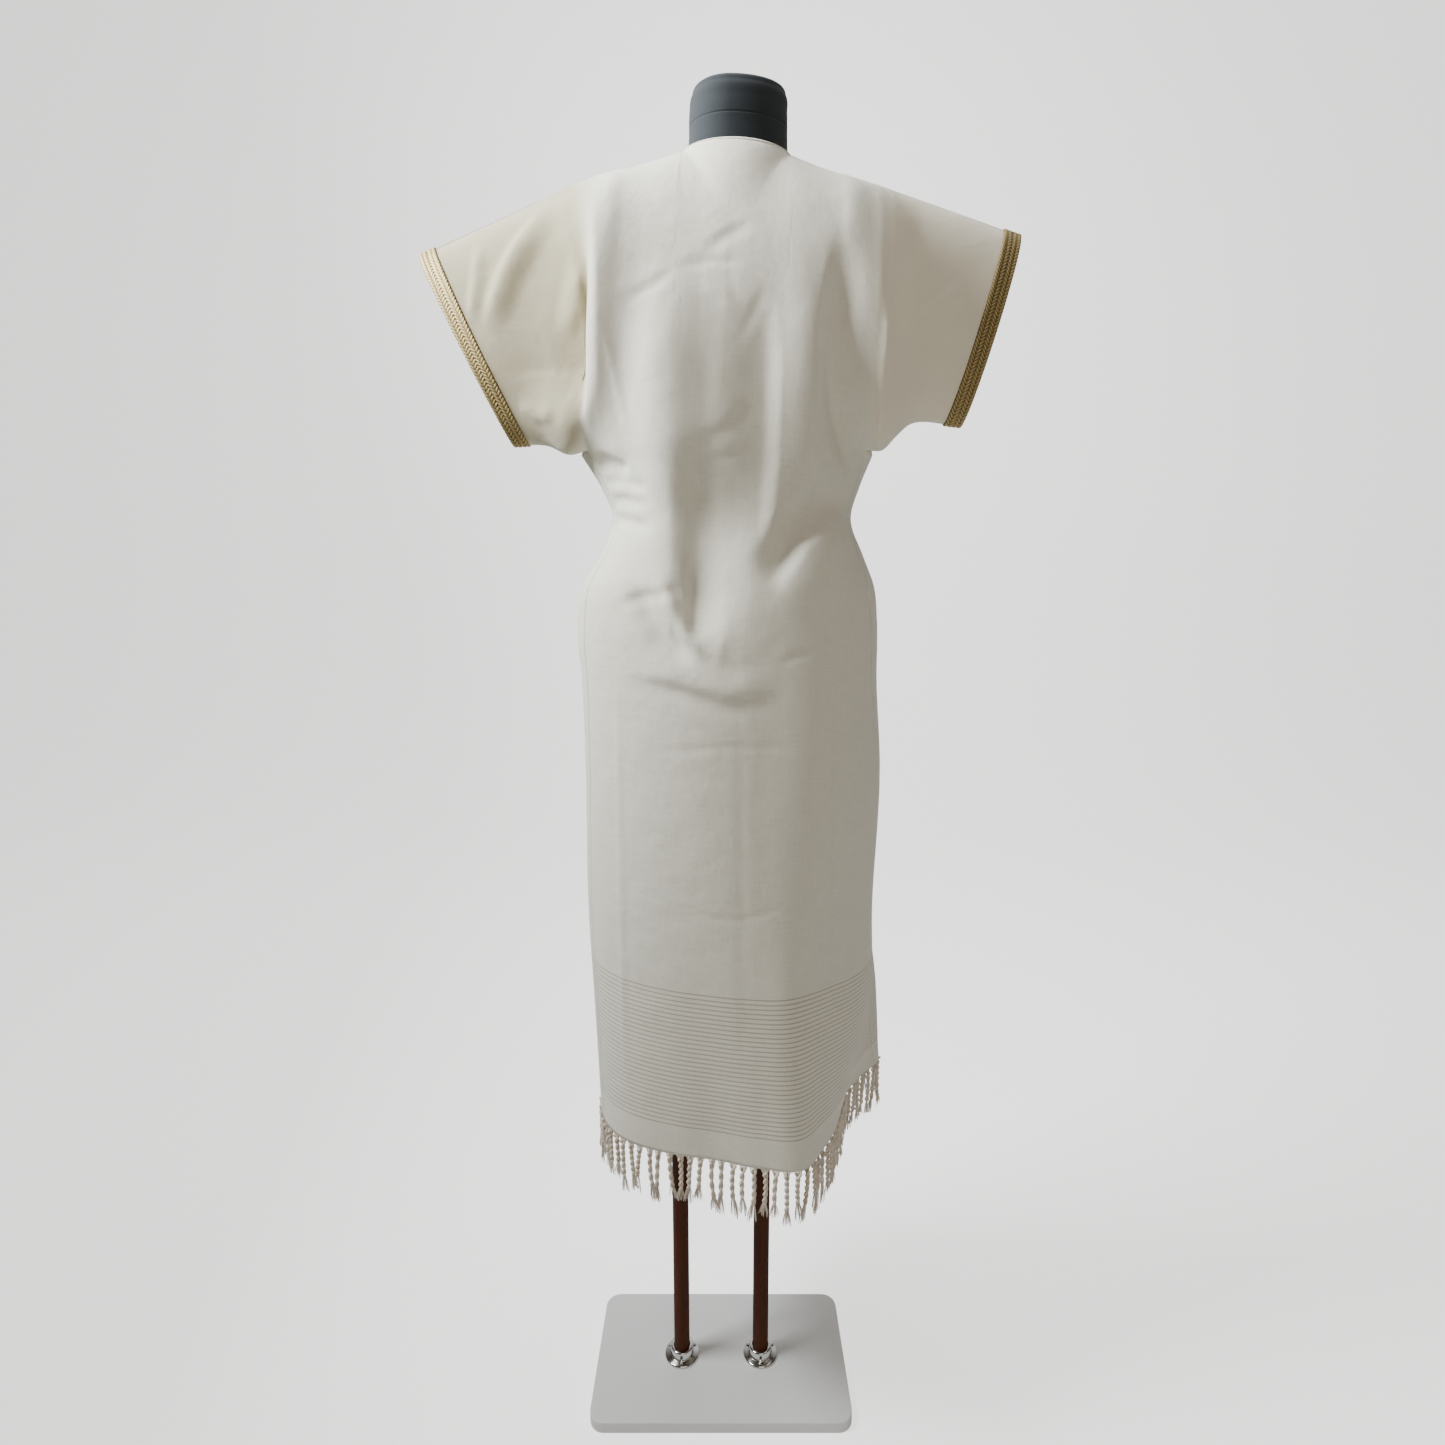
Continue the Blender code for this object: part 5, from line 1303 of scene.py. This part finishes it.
def jersey():
    """Dark slate knit: fine specks in the colour and in the relief, a little fluff."""
    material, shader = new_material("slate_jersey", (0.018, 0.023, 0.028), 0.9)
    shader.inputs["Sheen Weight"].default_value = 0.05
    fine = noise(material, object_place(material), 1200.0)
    feed(material, mixed(material, fine, (0.011, 0.015, 0.019), (0.025, 0.031, 0.037)), shader, "Base Color")
    bump(material, shader, fine, 0.3, 0.0003)
    return material


dress_form(jersey())
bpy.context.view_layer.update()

# %% [markdown]
# ## The stand's finishes
# The poles are wood, stained red-brown and varnished, so their grain runs up and down. The flanges and their
# screws are chrome, the set screws in the collars dark steel, and the board is lacquered white.

# %% The stand's recipes
def stained_wood():
    """Red-brown stain: grain noise stretched along the pole, under satin varnish."""
    material, shader = new_material("red_brown_wood", (0.055, 0.014, 0.004), 0.55)
    shader.inputs["Specular IOR Level"].default_value = 0.12
    grain = noise(material, object_place(material), (260.0, 260.0, 9.0), 5.0)
    feed(material, mixed(material, grain, (0.032, 0.007, 0.002), (0.100, 0.026, 0.006)), shader, "Base Color")
    bump(material, shader, grain, 0.15, 0.0003)
    return material


def polished_chrome():
    """Chrome with faint handling smears in its roughness."""
    material, shader = new_material("chrome", (0.72, 0.71, 0.70), 0.12, 1.0)
    smear = sums(material, "MULTIPLY", noise(material, object_place(material), 90.0, 3.0), 0.16)
    feed(material, sums(material, "ADD", 0.06, smear), shader, "Roughness")
    return material


def white_lacquer():
    """White lacquer with a trace of orange peel."""
    material, shader = new_material("white_lacquer", (0.84, 0.84, 0.83), 0.35)
    bump(material, shader, noise(material, object_place(material), 350.0, 1.0), 0.05, 0.0003)
    return material


# %% [markdown]
# ## The stand's pieces
# Turned pieces are a profile carried round an axis, so one helper makes poles and flanges, with far more
# sides than the CAD model needs. Screws and board are simple enough to stay the CAD model's own, and only get
# their finish.

# %% Poles, flanges and screws
FOOT = 0.0003             # gap between the board and what stands on it
POLE_RADIUS = 0.01125
POLE_X = 0.115 / 2
POLE_TOP = 0.7997         # just inside the form's underside
PLATE_RADIUS = 0.025
PLATE_TOP = 0.0038
COLLAR_RADIUS = 0.0165
COLLAR_TOP = 0.0163
BORE = 0.01155
SCREW_SEAT = 0.0173       # radius at which the plate's flat top under the screws ends
POLE = tuple((POLE_RADIUS, height) for height in (FOOT, 0.2, 0.4, 0.6, POLE_TOP))
FLANGE = (
    (BORE, FOOT), (PLATE_RADIUS - 0.0006, FOOT), (PLATE_RADIUS, 0.0009), (PLATE_RADIUS, 0.0018),
    (PLATE_RADIUS - 0.0006, 0.0030), (PLATE_RADIUS - 0.0018, 0.0036), (SCREW_SEAT, PLATE_TOP),
    (COLLAR_RADIUS + 0.0005, 0.0040), (COLLAR_RADIUS, 0.0050), (COLLAR_RADIUS, COLLAR_TOP - 0.0022),
    (COLLAR_RADIUS - 0.0004, COLLAR_TOP - 0.0010), (COLLAR_RADIUS - 0.0012, COLLAR_TOP - 0.0002),
    (COLLAR_RADIUS - 0.0022, COLLAR_TOP), (BORE + 0.0006, COLLAR_TOP), (BORE, COLLAR_TOP - 0.0006),
)


def turned(node_name, profile, middle, material, sides, tube=False):
    """A profile of radius and height carried round a vertical axis: x = middle + radius cos, y = radius sin."""
    profile = np.array(profile)
    turn = 2 * np.pi * np.arange(sides) / sides
    radius, height = profile[:, :1], profile[:, 1:]
    rings = np.stack((middle + radius * np.cos(turn), radius * np.sin(turn), height + 0 * turn), axis=-1)
    number = np.arange(len(rings) * sides).reshape(-1, sides)
    faces = ring_walls(np.vstack((number, number[:1]))) if tube else capped(number)
    piece = add_mesh(node_name + "_turned", rings, faces, material, sharp=40)
    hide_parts(node_name)
    return piece


def refinish(node_name, material):
    """A new finish for a piece of the frame that stays as it is."""
    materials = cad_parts[node_name].data.materials
    materials.clear()
    materials.append(material)


wood = stained_wood()
chrome = polished_chrome()
steel, _ = new_material("dark_steel", (0.12, 0.12, 0.13), 0.35, 1.0)
for side, x in (("left", -POLE_X), ("right", POLE_X)):
    turned(side + "_pole", POLE, x, wood, 64)
    turned(side + "_flange", FLANGE, x, chrome, 96, tube=True)
    for number in (1, 2, 3):
        refinish("%s_flange_screw_%d" % (side, number), chrome)
    refinish(side + "_collar_screw", steel)
refinish("base_board", white_lacquer())
print("the poles reach %.3f m above the board" % POLE_TOP)

# %% [markdown]
# ## The ground
# A studio's floor curves up into its wall without a corner, so no line shows behind the object. It glows a
# little, but only for the camera. The surround looks as pale as the wall, so that the object stands before
# the same light ground from every side, and throws a dim warm light.

# %% Backdrop and surround
BACKDROP_GLOW = 1.3       # brightness that the backdrop adds to the picture, but throws on nothing
ROOM_COLOUR = (1.0, 0.76, 0.52)
ROOM_LIGHT = 0.045        # brightness of the light that the surround throws on the object
PALE_GROUND = (1.60, 1.60, 1.58)    # brightness of the surround as the camera sees it past the backdrop
FLOOR_FRONT = -5.0
FLOOR_BACK = 2.4          # where the floor begins to curve up
CURVE_RADIUS = 1.6
WALL_TOP = 7.0
HALF_WIDTH = 9.0


def add_backdrop():
    """A pale floor that curves up into a wall: a line, a quarter circle and a line, drawn out sideways."""
    turn = np.linspace(0, np.pi / 2, 24)
    curve_y = FLOOR_BACK + CURVE_RADIUS * np.sin(turn)
    y = np.concatenate(((FLOOR_FRONT,), curve_y, (FLOOR_BACK + CURVE_RADIUS,)))
    z = np.concatenate(((0.0,), CURVE_RADIUS * (1 - np.cos(turn)), (WALL_TOP,)))
    x = np.array((-HALF_WIDTH, HALF_WIDTH))
    points = np.stack(np.broadcast_arrays(x[None, :], y[:, None], z[:, None]), axis=-1).reshape(-1, 3)
    number = np.arange(len(points)).reshape(-1, 2)
    faces = np.stack((number[:-1, 0], number[:-1, 1], number[1:, 1], number[1:, 0]), axis=-1)
    mesh = bpy.data.meshes.new("backdrop")
    mesh.from_pydata(points.tolist(), [], faces.tolist())
    mesh.shade_smooth()
    material, shader = new_material("pale_backdrop", (0.90, 0.90, 0.89), 0.9)
    shader.inputs["Emission Color"].default_value = (1.0, 1.0, 0.99, 1.0)
    seen = add_node(material, "ShaderNodeLightPath").outputs["Is Camera Ray"]
    feed(material, sums(material, "MULTIPLY", seen, BACKDROP_GLOW), shader, "Emission Strength")
    mesh.materials.append(material)
    backdrop = bpy.data.objects.new("backdrop", mesh)
    bpy.context.scene.collection.objects.link(backdrop)


add_backdrop()
world = bpy.data.worlds.new("studio")
world.use_nodes = True
seen = add_node(world, "ShaderNodeLightPath").outputs["Is Camera Ray"]
surround = mixed(world, seen, tuple(ROOM_LIGHT * c for c in ROOM_COLOUR), PALE_GROUND)
feed(world, surround, world.node_tree.nodes["Background"], "Color")
bpy.context.scene.world = world

# %% [markdown]
# ## The light
# The photograph was taken indoors by soft daylight from the left, with warmer light thrown back from the
# right. So there is a large soft lamp on the left, a broad weak one in front and a faint warm one on the
# right. A fourth lamp is aimed at the wall.

# %% Lamps
# name, place, target, size, watts, colour
LAMPS = (
    ("window_left", (-1.35, -0.28, 2.25), (0.0, 0.0, 2.6), 0.7, 152.0, (0.94, 0.98, 1.0)),
    ("room_front", (0.3, -1.8, 1.7), (0.0, 0.0, 1.0), 1.2, 9.5, (1.0, 0.93, 0.84)),
    ("warm_right", (1.9, -1.2, 0.9), (0.0, 0.0, 0.9), 1.6, 1.0, (1.0, 0.74, 0.50)),
    ("wall_wash", (0.0, 0.9, 3.6), (0.0, 3.6, 0.6), 3.0, 70.0, (1.0, 1.0, 1.0)),
)


def add_lamp(name, place, target, size, power, colour):
    """A square soft lamp at a place, turned to face a target."""
    data = bpy.data.lights.new(name, "AREA")
    data.size = size
    data.energy = power
    data.color = colour
    lamp = bpy.data.objects.new(name, data)
    lamp.location = place
    ahead = np.array(target) - np.array(place)
    tilt = math.atan2(math.hypot(ahead[0], ahead[1]), -ahead[2])
    lamp.rotation_euler = (tilt, 0, math.atan2(-ahead[0], ahead[1]))
    bpy.context.scene.collection.objects.link(lamp)


for lamp_row in LAMPS:
    add_lamp(*lamp_row)
print("lamps:", ", ".join(lamp_row[0] for lamp_row in LAMPS))

# %% [markdown]
# ## The camera
# It stands a metre behind the middle of the stand, at chest height, and looks slightly down.

# %% Camera
FRAME_PIXELS = 1445
FOCAL_PIXELS = 800
SENSOR = 36.0             # millimetres
TILT = 10.0               # degrees down
CAMERA_PLACE = (0.002, -1.0, 1.136)
camera_data = bpy.data.cameras.new("camera")
camera_data.sensor_width = SENSOR
camera_data.lens = SENSOR * FOCAL_PIXELS / FRAME_PIXELS
camera = bpy.data.objects.new("camera", camera_data)
camera.location = CAMERA_PLACE
camera.rotation_euler = (math.radians(90 - TILT), 0, 0)
bpy.context.scene.collection.objects.link(camera)
bpy.context.scene.camera = camera
